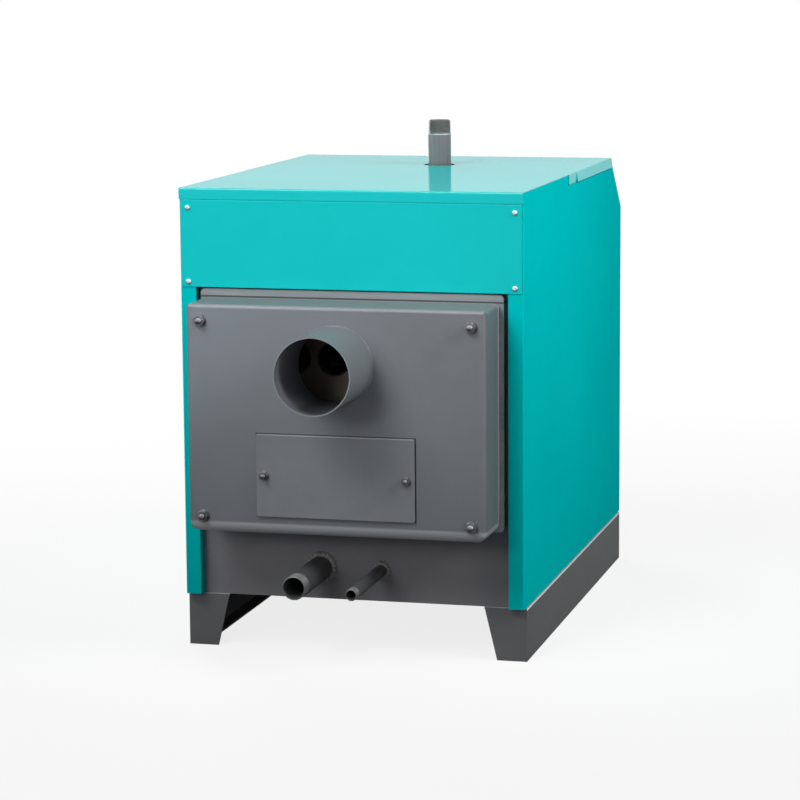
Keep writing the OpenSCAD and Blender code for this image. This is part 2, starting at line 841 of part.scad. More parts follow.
module furnace()
    color(dark) facing_front(0, furnace_end_d, furnace_z) difference() {
        cylinder(d = furnace_od, h = body_front_d - furnace_end_d);
        translate([0, 0, furnace_t]) cylinder(d = furnace_od - 2 * furnace_t,
            h = body_front_d - furnace_end_d);
    }

module furnace_stays()
    color(dark) for (p = stay_places)
        facing_front(p[0], rear_return_d + tube_plate_t, p[1])
            cylinder(d = stay_d, h = furnace_back_gap);

module smoke_tubes()
    color(dark) for (p = tube_places) facing_front(p[0], rear_return_d, p[1])
        tube(tube_od, tube_t, body_front_d - rear_return_d);

// Zigzag strip that lies in a tube, its lower corners on the tube's wall
module turbulator() {
    bore_r = tube_od / 2 - tube_t;
    rise = sqrt(bore_r * bore_r - turbulator_w * turbulator_w / 4) - run_gap;
    zigzags = floor((body_front_d - rear_return_d) / turbulator_pitch) - 1;
    start_d = rear_return_d + turbulator_pitch / 2;
    waves = [for (i = [0 : 2 * zigzags]) i];
    across(-turbulator_w / 2, turbulator_w / 2) polygon(concat(
        [for (i = waves) [start_d + i * turbulator_pitch / 2,
            (i % 2 == 0 ? -rise : rise - turbulator_t)]],
        [for (j = waves) let (i = 2 * zigzags - j)
            [start_d + i * turbulator_pitch / 2,
            (i % 2 == 0 ? -rise + turbulator_t : rise)]]));
}

module turbulators()
    color(steel) for (p = tube_places) translate([p[0], 0, p[1]]) turbulator();

module insulation_jacket() {
    side = body_w / 2 + insulation_gap;
    low = casing_base + casing_sheet + insulation_gap;
    front = body_front_d - tube_plate_t;
    rear = rear_return_d + tube_plate_t;
    color([0.86, 0.8, 0.55]) difference() {
        block([-side - insulation_t, fwd(front), low],
            [side + insulation_t, fwd(rear), body_top + insulation_top_t]);
        block([-side, fwd(front + over), low - over],
            [side, fwd(rear - over), body_top + insulation_gap]);
        translate([-supply_offset, fwd(supply_depth), body_top])
            cylinder(d = pipe_od + 2 * weld_leg + 2 * insulation_gap,
                h = insulation_top_t + over);
        translate([pocket_offset, fwd(pocket_depth), body_top])
            cylinder(d = pocket_socket_d + 2 * insulation_gap,
                h = insulation_top_t + over);
    }
}

module smoke_box_frame()
    color(grey) along(frame_front_d, frame_rear_d) difference() {
        translate([0, cover_base + frame_h / 2])
            round_rect(frame_w, frame_h, frame_corner_r);
        translate([frame_bar - frame_w / 2, cover_base + frame_bar])
            square([frame_w - 2 * frame_bar, cover_h - frame_bar - frame_seat]);
    }

// Half plate from the origin, d wide and h high, whose two corners at X = 0
// are round, with the radius low_r below and top_r above
module round_end(d, h, low_r, top_r) {
    translate([low_r, 0]) square([d - low_r, h / 2 + over]);
    translate([0, low_r]) square([d, h - low_r - top_r]);
    translate([top_r, h / 2]) square([d - top_r, h / 2]);
    translate([low_r, low_r]) circle(low_r);
    translate([top_r, h - top_r]) circle(top_r);
}

// Rear outline of the cover in X and height, a distance s inside its walls
module cover_outline(s)
    for (sx = [0, 1]) mirror([sx, 0]) translate([s - cover_w / 2, cover_base + s])
        round_end(cover_w / 2, cover_h - 2 * s, max(cover_low_corner_r - s, tight_r),
            max(cover_corner_r - s, tight_r));

// Body of the cover, a distance s inside its outer faces, which starts at a
// depth: the rear outline, its side view and its plan hold it together
module cover_body(s, front_d)
    intersection() {
        along(front_d, s - cover_reach) cover_outline(s);
        across(-half_w, half_w) translate([s - cover_reach, cover_base + s])
            round_end(2 * cover_reach, cover_h - 2 * s, cover_low_edge_r - s,
                cover_edge_r - s);
        translate([0, rear_y, 0]) mirror([0, 1, 0]) linear_extrude(casing_h)
            translate([cover_w / 2 - s, s - cover_reach]) rotate(90)
                round_end(2 * cover_reach, cover_w - 2 * s, cover_edge_r - s,
                    cover_edge_r - s);
    }

module smoke_box_gasket()
    color([0.8, 0.78, 0.72]) along(frame_rear_d, -frame_rear_d) difference() {
        cover_outline(cover_sheet / 2);
        cover_outline(cover_sheet / 2 + cover_gasket_w);
    }

module smoke_box_cover()
    color(grey) difference() {
        cover_body(0, -frame_rear_d);
        cover_body(cover_sheet, over - frame_rear_d);
        facing_rear(0, 0, flue_z)
            cylinder(d = flue_od + 2 * seat_fit, h = cover_reach + over);
        along(2 * cover_sheet - cover_reach, -cover_reach - over)
            translate([0, clean_z])
                square([clean_w - 2 * clean_overlap, clean_h - 2 * clean_overlap],
                    center = true);
        for (p = cover_stud_places) facing_rear(p[0], 0, p[1])
            cylinder(d = cover_stud_d + 2 * bolt_fit, h = cover_reach + over);
        for (p = clean_stud_places) facing_rear(p[0], 0, p[1])
            cylinder(d = clean_stud_d + 2 * seat_fit, h = cover_reach + over);
    }

module flue_spigot()
    color(grey) facing_rear(0, cover_sheet - cover_reach, flue_z) {
        tube(flue_od, flue_t, flue_reach - cover_reach + cover_sheet);
        translate([0, 0, cover_sheet]) difference() {
            weld_bead(flue_od, flue_weld_leg);
            cylinder(d = flue_od - flue_t, h = 2 * flue_weld_leg);
        }
    }

module cleaning_plate()
    color(grey) along(-cover_reach - clean_gasket_t, -clean_face_reach) difference() {
        translate([0, clean_z]) round_rect(clean_w, clean_h, clean_t);
        for (p = clean_stud_places) translate(p)
            circle(d = clean_stud_d + 2 * bolt_fit);
    }

module cleaning_gasket()
    color([0.8, 0.78, 0.72]) along(-cover_reach, -cover_reach - clean_gasket_t)
        translate([0, clean_z]) difference() {
            inner_w = clean_w - 2 * clean_overlap;
            inner_h = clean_h - 2 * clean_overlap;
            square([inner_w + 2 * clean_gasket_w, inner_h + 2 * clean_gasket_w],
                center = true);
            square([inner_w, inner_h], center = true);
        }

// Height of a nut for a stud of a given diameter
function nut_h(d) = d * nut_h_share;

module rear_studs()
    color(steel) {
        for (p = cover_stud_places) facing_rear(p[0], rear_return_d, p[1])
            cylinder(d = cover_stud_d, h = rear_return_d + cover_reach + washer_t
                + nut_h(cover_stud_d) + stud_tail);
        for (p = clean_stud_places) facing_rear(p[0], cover_sheet - cover_reach, p[1])
            cylinder(d = clean_stud_d, h = cover_sheet + clean_gasket_t + clean_t
                + washer_t + nut_h(clean_stud_d) + stud_tail);
    }

module rear_washers()
    color(steel) {
        for (p = cover_stud_places) facing_rear(p[0], -cover_reach, p[1])
            washer(cover_washer_d, cover_stud_d + 2 * bolt_fit, washer_t);
        for (p = clean_stud_places) facing_rear(p[0], -clean_face_reach, p[1])
            washer(clean_washer_d, clean_stud_d + 2 * bolt_fit, washer_t);
    }

module rear_nuts()
    color(steel) {
        for (p = cover_stud_places) facing_rear(p[0], -cover_reach - washer_t, p[1])
            hex_nut(cover_nut_af, cover_stud_d + 2 * seat_fit, nut_h(cover_stud_d));
        for (p = clean_stud_places)
            facing_rear(p[0], -clean_face_reach - washer_t, p[1])
                hex_nut(clean_nut_af, clean_stud_d + 2 * seat_fit, nut_h(clean_stud_d));
    }

module supply_pipe() {
    inner_end = body_top - wrapper_t;
    color(grey) translate([-supply_offset, fwd(supply_depth), inner_end])
        threaded_pipe(pipe_od, pipe_t, casing_h + supply_rise - inner_end,
            pipe_thread_d, pipe_thread_l, wrapper_t);
}

module return_pipe()
    color(grey) facing_rear(return_offset, rear_return_d + tube_plate_t, lower_pipe_z)
        threaded_pipe(pipe_od, pipe_t, rear_return_d + tube_plate_t + return_reach,
            pipe_thread_d, pipe_thread_l, tube_plate_t);

module drain_pipe()
    color(grey) facing_rear(-drain_offset, rear_return_d + tube_plate_t, lower_pipe_z)
        threaded_pipe(drain_od, drain_t, rear_return_d + tube_plate_t + drain_reach,
            drain_thread_d, drain_thread_l, tube_plate_t);

module sensor_pocket()
    color([0.8, 0.66, 0.3])
        translate([pocket_offset, fwd(pocket_depth), body_top - pocket_l])
            difference() {
                union() {
                    cylinder(d = pocket_tube_d, h = pocket_l + insulation_top_t);
                    translate([0, 0, pocket_l])
                        cylinder(d = pocket_socket_d, h = insulation_top_t);
                }
                translate([0, 0, wrapper_t])
                    cylinder(d = pocket_tube_d / 2, h = pocket_l + insulation_top_t);
            }

module door_frame()
    color(grey) along(door_seat_d, body_front_d) translate([0, door_z]) difference() {
        square([door_w, door_h], center = true);
        square([door_w - 2 * door_frame_bar, door_h - 2 * door_frame_bar],
            center = true);
    }

// Lower knuckles, each on an arm from the side of the door frame
module door_hinge_lugs()
    color(grey) for (sz = [-1, 1])
        translate([0, rear_y, door_z + sz * hinge_spread - knuckle_h]) mirror([0, 1, 0])
            linear_extrude(knuckle_h) difference() {
                union() {
                    polygon([[-door_w / 2, casing_d + over],
                        [-door_w / 2, door_seat_d - over],
                        [hinge_x + knuckle_d / 2, hinge_d],
                        [hinge_x - knuckle_d / 2, hinge_d]]);
                    translate([hinge_x, hinge_d]) circle(d = knuckle_d);
                }
                translate([hinge_x, hinge_d]) circle(d = hinge_pin_d + 2 * seat_fit);
            }

module hinge_pins()
    color(steel) for (sz = [-1, 1])
        translate([hinge_x, fwd(hinge_d), door_z + sz * hinge_spread - knuckle_h]) {
            pin_top = 2 * knuckle_h + run_gap;
            translate([0, 0, -hinge_pin_tail])
                cylinder(d = hinge_pin_d, h = pin_top + hinge_pin_tail);
            translate([0, 0, pin_top])
                cylinder(d = hinge_pin_d + hinge_pin_head, h = hinge_pin_tail);
        }

// Steel tray of the door with its upper knuckles
module furnace_door()
    color(grey) difference() {
        union() {
            along(door_face_d, door_board_d) translate([0, door_z])
                square([door_w, door_h], center = true);
            for (sz = [-1, 1])
                translate([0, fwd(hinge_d), door_z + sz * hinge_spread + run_gap]) {
                    translate([hinge_x, 0, 0])
                        cylinder(d = knuckle_d, h = knuckle_h - run_gap);
                    translate([hinge_x, -knuckle_arm / 2, 0])
                        cube([hinge_offset + door_sheet, knuckle_arm,
                            knuckle_h - run_gap]);
                }
        }
        along(door_plate_d, door_board_d - over) translate([0, door_z])
            square([door_w - 2 * door_sheet, door_h - 2 * door_sheet],
                center = true);
        for (sz = [-1, 1])
            translate([hinge_x, fwd(hinge_d), door_z + sz * hinge_spread])
                cylinder(d = hinge_pin_d + 2 * pin_fit, h = knuckle_h + over);
        door_holes();
        for (p = burner_stud_places) facing_front(p[0], door_plate_d - over, p[1])
            cylinder(d = burner_core_d + 2 * seat_fit, h = 2 * door_sheet);
    }

// Holes for the blast tube and the sight tube, right through the door
module door_holes() {
    facing_front(0, door_board_d - over, furnace_z)
        cylinder(d = burner_bore_d + 2 * burner_clear,
            h = door_board_t + door_sheet + 2 * over);
    facing_front(sight_x, door_board_d - over, sight_z)
        cylinder(d = sight_tube_d + 2 * seat_fit,
            h = door_board_t + door_sheet + 2 * over);
}

module door_board()
    color([0.85, 0.82, 0.76]) difference() {
        along(door_plate_d, door_board_d) translate([0, door_z])
            square([door_w - 2 * door_sheet, door_h - 2 * door_sheet],
                center = true);
        door_holes();
    }

module door_gasket() {
    inset = (door_frame_bar - door_gasket_w) / 2;
    outer_w = door_w - 2 * inset;
    outer_h = door_h - 2 * inset;
    color([0.8, 0.78, 0.72]) along(door_board_d, door_seat_d + run_gap)
        translate([0, door_z]) difference() {
            square([outer_w, outer_h], center = true);
            square([outer_w - 2 * door_gasket_w, outer_h - 2 * door_gasket_w],
                center = true);
        }
}

burner_stud_places = [for (a = [45, 135, 225, 315])
    [burner_pcd / 2 * cos(a), furnace_z + burner_pcd / 2 * sin(a)]];

module burner_flange()
    color(grey) difference() {
        facing_front(0, door_face_d, furnace_z) difference() {
            cylinder(d = burner_flange_d, h = burner_flange_t);
            translate([0, 0, -over])
                cylinder(d = burner_bore_d, h = burner_flange_t + 2 * over);
        }
        for (p = burner_stud_places) facing_front(p[0], door_face_d - over, p[1])
            cylinder(d = burner_core_d + 2 * seat_fit,
                h = burner_flange_t + 2 * over);
    }

// Burner studs, whose thinner roots sit in the flange and the door plate
module burner_studs()
    color(steel) for (p = burner_stud_places) {
        facing_front(p[0], door_plate_d, p[1])
            cylinder(d = burner_core_d, h = door_sheet + burner_flange_t + over);
        facing_front(p[0], flange_face_d, p[1])
            cylinder(d = burner_stud_d, h = burner_stud_l);
    }

// Tube of the sight port, with a seat for its glass and the flap's pivot post
module sight_tube() {
    tube_l = door_face_d - door_board_d + sight_proud;
    color(grey) facing_front(sight_x, door_board_d, sight_z) {
        difference() {
            cylinder(d = sight_tube_d, h = tube_l);
            translate([0, 0, -over]) cylinder(d = sight_bore_d, h = tube_l + 2 * over);
            translate([0, 0, tube_l - sight_glass_t - run_gap])
                cylinder(d = sight_glass_d + 2 * seat_fit, h = 2 * sight_glass_t);
        }
        translate([0, sight_pivot_rise, door_face_d - door_board_d]) {
            cylinder(d = sight_post_d, h = sight_proud + sight_flap_t + 3 * run_gap);
            translate([0, 0, sight_proud + sight_flap_t + 2 * run_gap])
                cylinder(d = 2 * sight_post_d, h = sight_flap_t);
            cylinder(d = 2 * sight_post_d, h = sight_proud);
        }
    }
}

module sight_glass()
    color([0.8, 0.9, 0.95, 0.6])
        facing_front(sight_x, door_face_d + sight_proud - sight_glass_t - run_gap, sight_z)
            cylinder(d = sight_glass_d, h = sight_glass_t);

// Flap that swings on the post above the sight port
module sight_flap()
    color(steel) facing_front(sight_x, door_face_d + sight_proud + run_gap, sight_z)
        linear_extrude(sight_flap_t) difference() {
            union() {
                circle(d = sight_tube_d);
                translate([-sight_post_d, 0])
                    square([2 * sight_post_d, sight_pivot_rise]);
                translate([0, sight_pivot_rise]) circle(sight_post_d);
                translate([0, -sight_tube_d / 2 - sight_tab_l / 2])
                    square([sight_post_d, 2 * sight_tab_l], center = true);
            }
            translate([0, sight_pivot_rise]) circle(d = sight_post_d + 2 * pin_fit);
        }

// Plate on the side of the door that carries the latch pivot
module latch_bracket()
    color(grey) translate([0, 0, door_z]) {
        block([door_w / 2, fwd(door_face_d), -latch_boss_d],
            [latch_x + latch_boss_d / 2, fwd(door_face_d - latch_bracket_t),
            latch_boss_d]);
        facing_front(latch_x, door_face_d, 0) {
            cylinder(d = latch_pivot_d, h = latch_t + 2 * run_gap);
            translate([0, 0, latch_t + 2 * run_gap])
                cylinder(d = latch_pivot_d + hinge_pin_head, h = hinge_pin_tail);
        }
    }

// Lever with its tongue raised clear of the keeper and its handle opposite
module latch_lever()
    color(dark) facing_front(latch_x, door_face_d + run_gap, door_z)
        linear_extrude(latch_t) rotate(latch_rest_angle) difference() {
            union() {
                circle(d = latch_boss_d);
                polygon([[0, -latch_boss_d / 2], [latch_tongue_l, -latch_tip_w / 2],
                    [latch_tongue_l, latch_tip_w / 2], [0, latch_boss_d / 2],
                    [-latch_handle_l, latch_tip_w], [-latch_handle_l, -latch_tip_w]]);
                translate([-latch_handle_l, 0]) circle(latch_tip_w);
            }
            circle(d = latch_pivot_d + 2 * pin_fit);
        }

// Round grip on the handle
module latch_grip()
    color([0.1, 0.1, 0.1])
        facing_front(latch_x, door_face_d + run_gap + latch_t, door_z)
            rotate(latch_rest_angle) translate([-latch_handle_l, 0]) rotate_extrude()
                intersection() {
                    union() {
                        square([latch_grip_d / 4, latch_grip_l]);
                        translate([latch_grip_d / 4, latch_grip_l - latch_grip_d / 4])
                            circle(latch_grip_d / 4);
                        translate([0, latch_grip_l - latch_grip_d / 2])
                            square([latch_grip_d / 2, latch_grip_d / 4]);
                        translate([0, latch_grip_l - latch_grip_d / 4])
                            square([latch_grip_d / 4, latch_grip_d / 4]);
                    }
                    square([latch_grip_d, latch_grip_l]);
                }

// Hook on the side of the door frame that the tongue goes behind
module latch_keeper() {
    leg_x = latch_x + latch_tongue_l + 2 * over;
    hook_d = door_face_d + latch_t + 3 * run_gap;
    half = latch_keeper_h / 2;
    color(grey) translate([0, 0, door_z]) {
        block([door_w / 2, fwd(door_seat_d - over), -half],
            [leg_x + latch_keeper_t, fwd(casing_d + over), half]);
        block([leg_x, fwd(hook_d + latch_keeper_t), -half],
            [leg_x + latch_keeper_t, fwd(casing_d + over), half]);
        block([leg_x - latch_hook_l, fwd(hook_d + latch_keeper_t), -half],
            [leg_x + latch_keeper_t, fwd(hook_d), half]);
    }
}

// Openings in the fascia and its control plate, about the fascia's middle
module control_holes() {
    cut_h = casing_sheet + plate_t + 2 * over;
    translate([0, 0, -casing_sheet - over]) {
        cylinder(d = bush_d + 2 * seat_fit, h = cut_h);
        translate([gauge_offset, 0])
            cylinder(d = gauge_case_d + 2 * seat_fit, h = cut_h);
        translate([safety_offset, 0])
            cylinder(d = safety_body_d + 2 * seat_fit, h = cut_h);
        for (sy = [-1, 1]) translate([-lamp_offset, sy * lamp_spread / 2])
            cylinder(d = lamp_d + 2 * seat_fit, h = cut_h);
        for (x = [power_offset, pump_offset]) translate([-x, 0]) linear_extrude(cut_h)
            square([switch_body_w + 2 * seat_fit, switch_body_h + 2 * seat_fit],
                center = true);
    }
}

module control_plate()
    color([0.16, 0.17, 0.18]) on_fascia() difference() {
        linear_extrude(plate_t) round_rect(plate_w, plate_h, plate_corner_r);
        control_holes();
    }

module control_box()
    color(steel) on_fascia() translate([0, 0, -casing_sheet - box_d]) difference() {
        linear_extrude(box_d) square([plate_w - 2 * box_inset, box_h], center = true);
        translate([0, 0, casing_sheet]) linear_extrude(box_d)
            square([plate_w - 2 * box_inset - 2 * casing_sheet,
                box_h - 2 * casing_sheet], center = true);
    }

// Thermostat behind the fascia, with the bush that its spindle turns in
module thermostat_body()
    color([0.85, 0.85, 0.82]) on_fascia() difference() {
        union() {
            translate([0, 0, -casing_sheet - control_body_d])
                linear_extrude(control_body_d)
                    square(knob_d - 2 * knob_skirt, center = true);
            translate([0, 0, -casing_sheet])
                cylinder(d = bush_d, h = casing_sheet + plate_t + bush_proud);
        }
        translate([0, 0, -spindle_l - over])
            cylinder(d = spindle_d + 2 * pin_fit, h = 2 * spindle_l);
    }

module thermostat_knob()
    color([0.08, 0.08, 0.08]) on_fascia() {
        translate([0, 0, plate_t + run_gap]) difference() {
            union() {
                cylinder(d = knob_d, h = knob_skirt);
                linear_extrude(knob_h) difference() {
                    circle(d = knob_d - knob_skirt);
                    for (a = [0 : 20 : 359]) rotate(a)
                        translate([knob_d / 2, 0]) circle(knob_skirt * groove_share);
                }
            }
            translate([0, 0, -over])
                cylinder(d = bush_d + 2 * over, h = bush_proud + 2 * over);
            translate([0, knob_d / 4, knob_h])
                cube([knob_mark_w, knob_d / 4, knob_mark_w], center = true);
        }
        translate([0, 0, -spindle_l])
            cylinder(d = spindle_d, h = spindle_l + plate_t + bush_proud + 2 * over);
    }

// Case and bezel of the thermometer, with the pivot of its pointer
module thermometer()
    color(steel) on_fascia() translate([gauge_offset, 0]) {
        difference() {
            union() {
                translate([0, 0, -control_body_d])
                    cylinder(d = gauge_case_d, h = control_body_d + plate_t);
                translate([0, 0, plate_t]) cylinder(d = gauge_d, h = bezel_h);
            }
            translate([0, 0, plate_t])
                cylinder(d = gauge_case_d - 2 * gauge_wall, h = bezel_h + over);
            translate([0, 0, plate_t + bezel_h - gauge_glass_t])
                cylinder(d = gauge_case_d, h = gauge_glass_t + over);
        }
        cylinder(d = gauge_post_d, h = plate_t + bezel_h - 2 * gauge_glass_t);
    }

module thermometer_pointer()
    color([0.75, 0.1, 0.08]) on_fascia()
        translate([gauge_offset, 0, plate_t + pointer_t]) rotate(pointer_rest_angle)
            linear_extrude(pointer_t) difference() {
                union() {
                    circle(d = 3 * gauge_post_d);
                    polygon([[-pointer_w, -pointer_tail], [pointer_w, -pointer_tail],
                        [pointer_w / 2, pointer_l], [-pointer_w / 2, pointer_l]]);
                }
                circle(d = gauge_post_d + 2 * pin_fit);
            }

module thermometer_glass()
    color([0.8, 0.9, 0.95, 0.6]) on_fascia()
        translate([gauge_offset, 0, plate_t + bezel_h - gauge_glass_t])
            cylinder(d = gauge_case_d - 2 * seat_fit, h = gauge_glass_t);

// Housing of one rocker switch: a rim on the control plate and a closed body
module switch_housing() {
    difference() {
        union() {
            translate([0, 0, plate_t]) linear_extrude(switch_rim_h)
                square([switch_w, switch_h], center = true);
            translate([0, 0, -switch_body_d]) linear_extrude(switch_body_d + plate_t)
                square([switch_body_w, switch_body_h], center = true);
        }
        translate([0, 0, -switch_well_d]) linear_extrude(2 * switch_body_d)
            square([switch_body_w - 2 * switch_wall, switch_body_h - 2 * switch_wall],
                center = true);
        translate([0, 0, plate_t]) rotate([0, 90, 0])
            cylinder(d = rocker_pin_d + 2 * pin_fit, h = switch_body_w, center = true);
    }
}

module switch_housings()
    color([0.1, 0.1, 0.1]) on_fascia() for (x = [power_offset, pump_offset])
        translate([-x, 0]) switch_housing();

// Rocker with a hollow top, tilted to its off position, on a pin along X
module rocker() {
    well_h = switch_body_h - 2 * switch_wall;
    half_l = well_h / 2 - rocker_clear;
    w = switch_body_w - 2 * switch_wall - 2 * run_gap;
    translate([0, 0, plate_t]) rotate([-rocker_tilt, 0, 0]) {
        translate([-w / 2, 0, 0]) rotate([90, 0, 90]) linear_extrude(w)
            polygon([[-half_l, rocker_top], [0, rocker_top / 2],
                [half_l, rocker_top], [half_l, -rocker_top / 2],
                [rocker_top, -2 * rocker_top], [-rocker_top, -2 * rocker_top],
                [-half_l, -rocker_top / 2]]);
        rotate([0, 90, 0])
            cylinder(d = rocker_pin_d, h = switch_body_w - 2 * run_gap, center = true);
    }
}

module power_rocker()
    color([0.1, 0.55, 0.2]) on_fascia() translate([-power_offset, 0]) rocker();

module pump_rocker()
    color([0.1, 0.1, 0.1]) on_fascia() translate([-pump_offset, 0]) rocker();

module indicator_lamps()
    color([0.2, 0.75, 0.3]) on_fascia() for (sy = [-1, 1])
        translate([-lamp_offset, sy * lamp_spread / 2]) {
            translate([0, 0, -control_body_d / 2])
                cylinder(d = lamp_d, h = control_body_d / 2 + plate_t);
            translate([0, 0, plate_t]) rotate_extrude() intersection() {
                translate([0, -lamp_d / 4]) circle(lamp_d * lamp_lens_share);
                square(lamp_d);
            }
        }

module safety_thermostat()
    color([0.1, 0.1, 0.1]) on_fascia() translate([safety_offset, 0]) difference() {
        union() {
            translate([0, 0, -control_body_d])
                cylinder(d = safety_body_d, h = control_body_d + plate_t);
            translate([0, 0, plate_t])
                cylinder(d1 = safety_collar_d, d2 = safety_collar_d - safety_taper,
                    h = safety_collar_h);
        }
        translate([0, 0, -reset_l - reset_travel - over])
            cylinder(d = reset_d + 2 * pin_fit,
                h = reset_l + reset_travel + plate_t + safety_collar_h + 2 * over);
    }

module reset_button()
    color([0.75, 0.1, 0.08]) on_fascia() translate([safety_offset, 0, -reset_l])
        cylinder(d = reset_d,
            h = reset_l + plate_t + safety_collar_h + reset_travel);

module cable_glands()
    color([0.2, 0.2, 0.21]) for (p = gland_places) facing_front(p[0], casing_d, p[1])
        difference() {
            union() {
                translate([0, 0, -casing_sheet - gland_thread_l])
                    cylinder(d = gland_thread_d,
                        h = casing_sheet + gland_thread_l + gland_hex_h);
                cylinder(d = gland_hex_d, h = gland_hex_h, $fn = 6);
                translate([0, 0, gland_hex_h]) cylinder(d = gland_d, h = gland_hex_h);
                translate([0, 0, 2 * gland_hex_h])
                    cylinder(d1 = gland_d, d2 = gland_d - gland_taper, h = gland_hex_h);
                translate([0, 0, -casing_sheet - gland_hex_h])
                    cylinder(d = gland_hex_d, h = gland_hex_h, $fn = 6);
            }
            translate([0, 0, -casing_sheet - gland_thread_l - over])
                cylinder(d = gland_bore_d, h = gland_thread_l + 4 * gland_hex_h);
        }

side_panel_left();
side_panel_right();
top_cover();
rear_upper_panel();
front_panel();
fascia();
casing_screws();
base_rail_left();
base_rail_right();
body_wrapper();
rear_tube_plate();
front_tube_plate();
furnace();
furnace_stays();
smoke_tubes();
turbulators();
insulation_jacket();
smoke_box_frame();
smoke_box_gasket();
smoke_box_cover();
flue_spigot();
cleaning_plate();
cleaning_gasket();
rear_studs();
rear_washers();
rear_nuts();
supply_pipe();
return_pipe();
drain_pipe();
sensor_pocket();
door_frame();
door_hinge_lugs();
hinge_pins();
furnace_door();
door_board();
door_gasket();
burner_flange();
burner_studs();
sight_tube();
sight_glass();
sight_flap();
latch_bracket();
latch_lever();
latch_grip();
latch_keeper();
control_plate();
control_box();
thermostat_body();
thermostat_knob();
thermometer();
thermometer_pointer();
thermometer_glass();
switch_housings();
power_rocker();
pump_rocker();
indicator_lamps();
safety_thermostat();
reset_button();
cable_glands();
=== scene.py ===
# Looks of the oil boiler: materials, threads, weld beads, screw recesses and
# dial faces on the fixed CAD frame, with the studio, its lamps and the camera.
# Lengths are in metres. +Y points to the rear, where the camera stands.
import math

import bpy
from mathutils import Matrix, Vector, noise


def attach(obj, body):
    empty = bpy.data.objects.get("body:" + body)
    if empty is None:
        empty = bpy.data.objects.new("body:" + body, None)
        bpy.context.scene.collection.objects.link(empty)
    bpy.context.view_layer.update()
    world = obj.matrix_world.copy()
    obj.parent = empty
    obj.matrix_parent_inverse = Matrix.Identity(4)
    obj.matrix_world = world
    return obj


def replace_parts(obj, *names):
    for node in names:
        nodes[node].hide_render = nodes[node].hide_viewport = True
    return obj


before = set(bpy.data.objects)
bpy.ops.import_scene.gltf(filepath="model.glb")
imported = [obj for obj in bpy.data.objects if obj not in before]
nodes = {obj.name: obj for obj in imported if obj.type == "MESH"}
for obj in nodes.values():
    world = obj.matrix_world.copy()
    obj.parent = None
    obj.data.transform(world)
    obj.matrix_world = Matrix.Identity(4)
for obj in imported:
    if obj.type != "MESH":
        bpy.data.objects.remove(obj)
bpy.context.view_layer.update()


# Places, repeated from the part's own sizes. Depth is measured forward from the
# casing's rear edge.

REAR_Y = 0.3745
CASING_D = 0.900
CASING_H = 0.800
SHEET = 0.0015
COVER_Z = 0.420
CLEAN_Z = 0.3275
COVER_REACH = 0.100
FLUE_Z = 0.517
FLUE_R = 0.065
PIPE_Z = 0.146
RETURN_X = 0.062
DRAIN_X = -0.0455
SUPPLY_X = -0.016
SUPPLY_DEPTH = 0.577
SUPPLY_BASE_Z = 0.648
TUBE_PLATE_FACE = 0.022
FURNACE_Z = 0.297
REAR = Vector((0.0, 1.0, 0.0))
FRONT = Vector((0.0, -1.0, 0.0))
UP = Vector((0.0, 0.0, 1.0))
FULL_TURN = 2.0 * math.pi


def at(x, depth, z):
    return Vector((x, REAR_Y - depth, z))


# Fascia: a frame at its middle, X to the right, Y up the slope, Z out of it
FASCIA_RUN = 0.110
FASCIA_DROP = 0.102
slope = math.atan2(FASCIA_DROP, FASCIA_RUN)
FASCIA = (Matrix.Translation(at(0.0, CASING_D - FASCIA_RUN / 2, CASING_H - FASCIA_DROP / 2))
          @ Matrix.Rotation(slope, 4, "X"))
FASCIA_OUT = (FASCIA.to_3x3() @ UP).normalized()


# Colours written the way a picture stores them, turned into linear light
def srgb(r, g, b):
    def one(c):
        c = c / 255.0
        return c / 12.92 if c <= 0.04045 else ((c + 0.055) / 1.055) ** 2.4

    return (one(r), one(g), one(b), 1.0)


# Shader nodes

def new_material(name):
    mat = bpy.data.materials.new(name)
    mat.use_nodes = True
    mat.node_tree.nodes.clear()
    return mat


def add(mat, kind, **values):
    node = mat.node_tree.nodes.new(kind)
    for key, value in values.items():
        setattr(node, key, value)
    return node


def link(mat, a, b):
    mat.node_tree.links.new(a, b)


def principled(mat, metallic=0.0, specular=0.5):
    out = add(mat, "ShaderNodeOutputMaterial")
    bsdf = add(mat, "ShaderNodeBsdfPrincipled")
    link(mat, bsdf.outputs["BSDF"], out.inputs["Surface"])
    bsdf.inputs["Metallic"].default_value = metallic
    bsdf.inputs["Specular IOR Level"].default_value = specular
    return bsdf


def place(mat, scale=(1.0, 1.0, 1.0)):
    coord = add(mat, "ShaderNodeTexCoord")
    mapping = add(mat, "ShaderNodeMapping")
    mapping.inputs["Scale"].default_value = scale
    link(mat, coord.outputs["Object"], mapping.inputs["Vector"])
    return mapping.outputs["Vector"]


def noise_tex(mat, vector, scale, detail=3.0, rough=0.55):
    tex = add(mat, "ShaderNodeTexNoise")
    tex.inputs["Scale"].default_value = scale
    tex.inputs["Detail"].default_value = detail
    tex.inputs["Roughness"].default_value = rough
    link(mat, vector, tex.inputs["Vector"])
    return tex.outputs["Fac"]


def ramp(mat, fac, stops):
    node = add(mat, "ShaderNodeValToRGB")
    while len(node.color_ramp.elements) < len(stops):
        node.color_ramp.elements.new(0.5)
    for element, (pos, colour) in zip(node.color_ramp.elements, stops):
        element.position = pos
        element.color = colour
    link(mat, fac, node.inputs["Fac"])
    return node.outputs["Color"]


def to_range(mat, fac, low, high):
    node = add(mat, "ShaderNodeMapRange")
    node.inputs["To Min"].default_value = low
    node.inputs["To Max"].default_value = high
    link(mat, fac, node.inputs["Value"])
    return node.outputs["Result"]


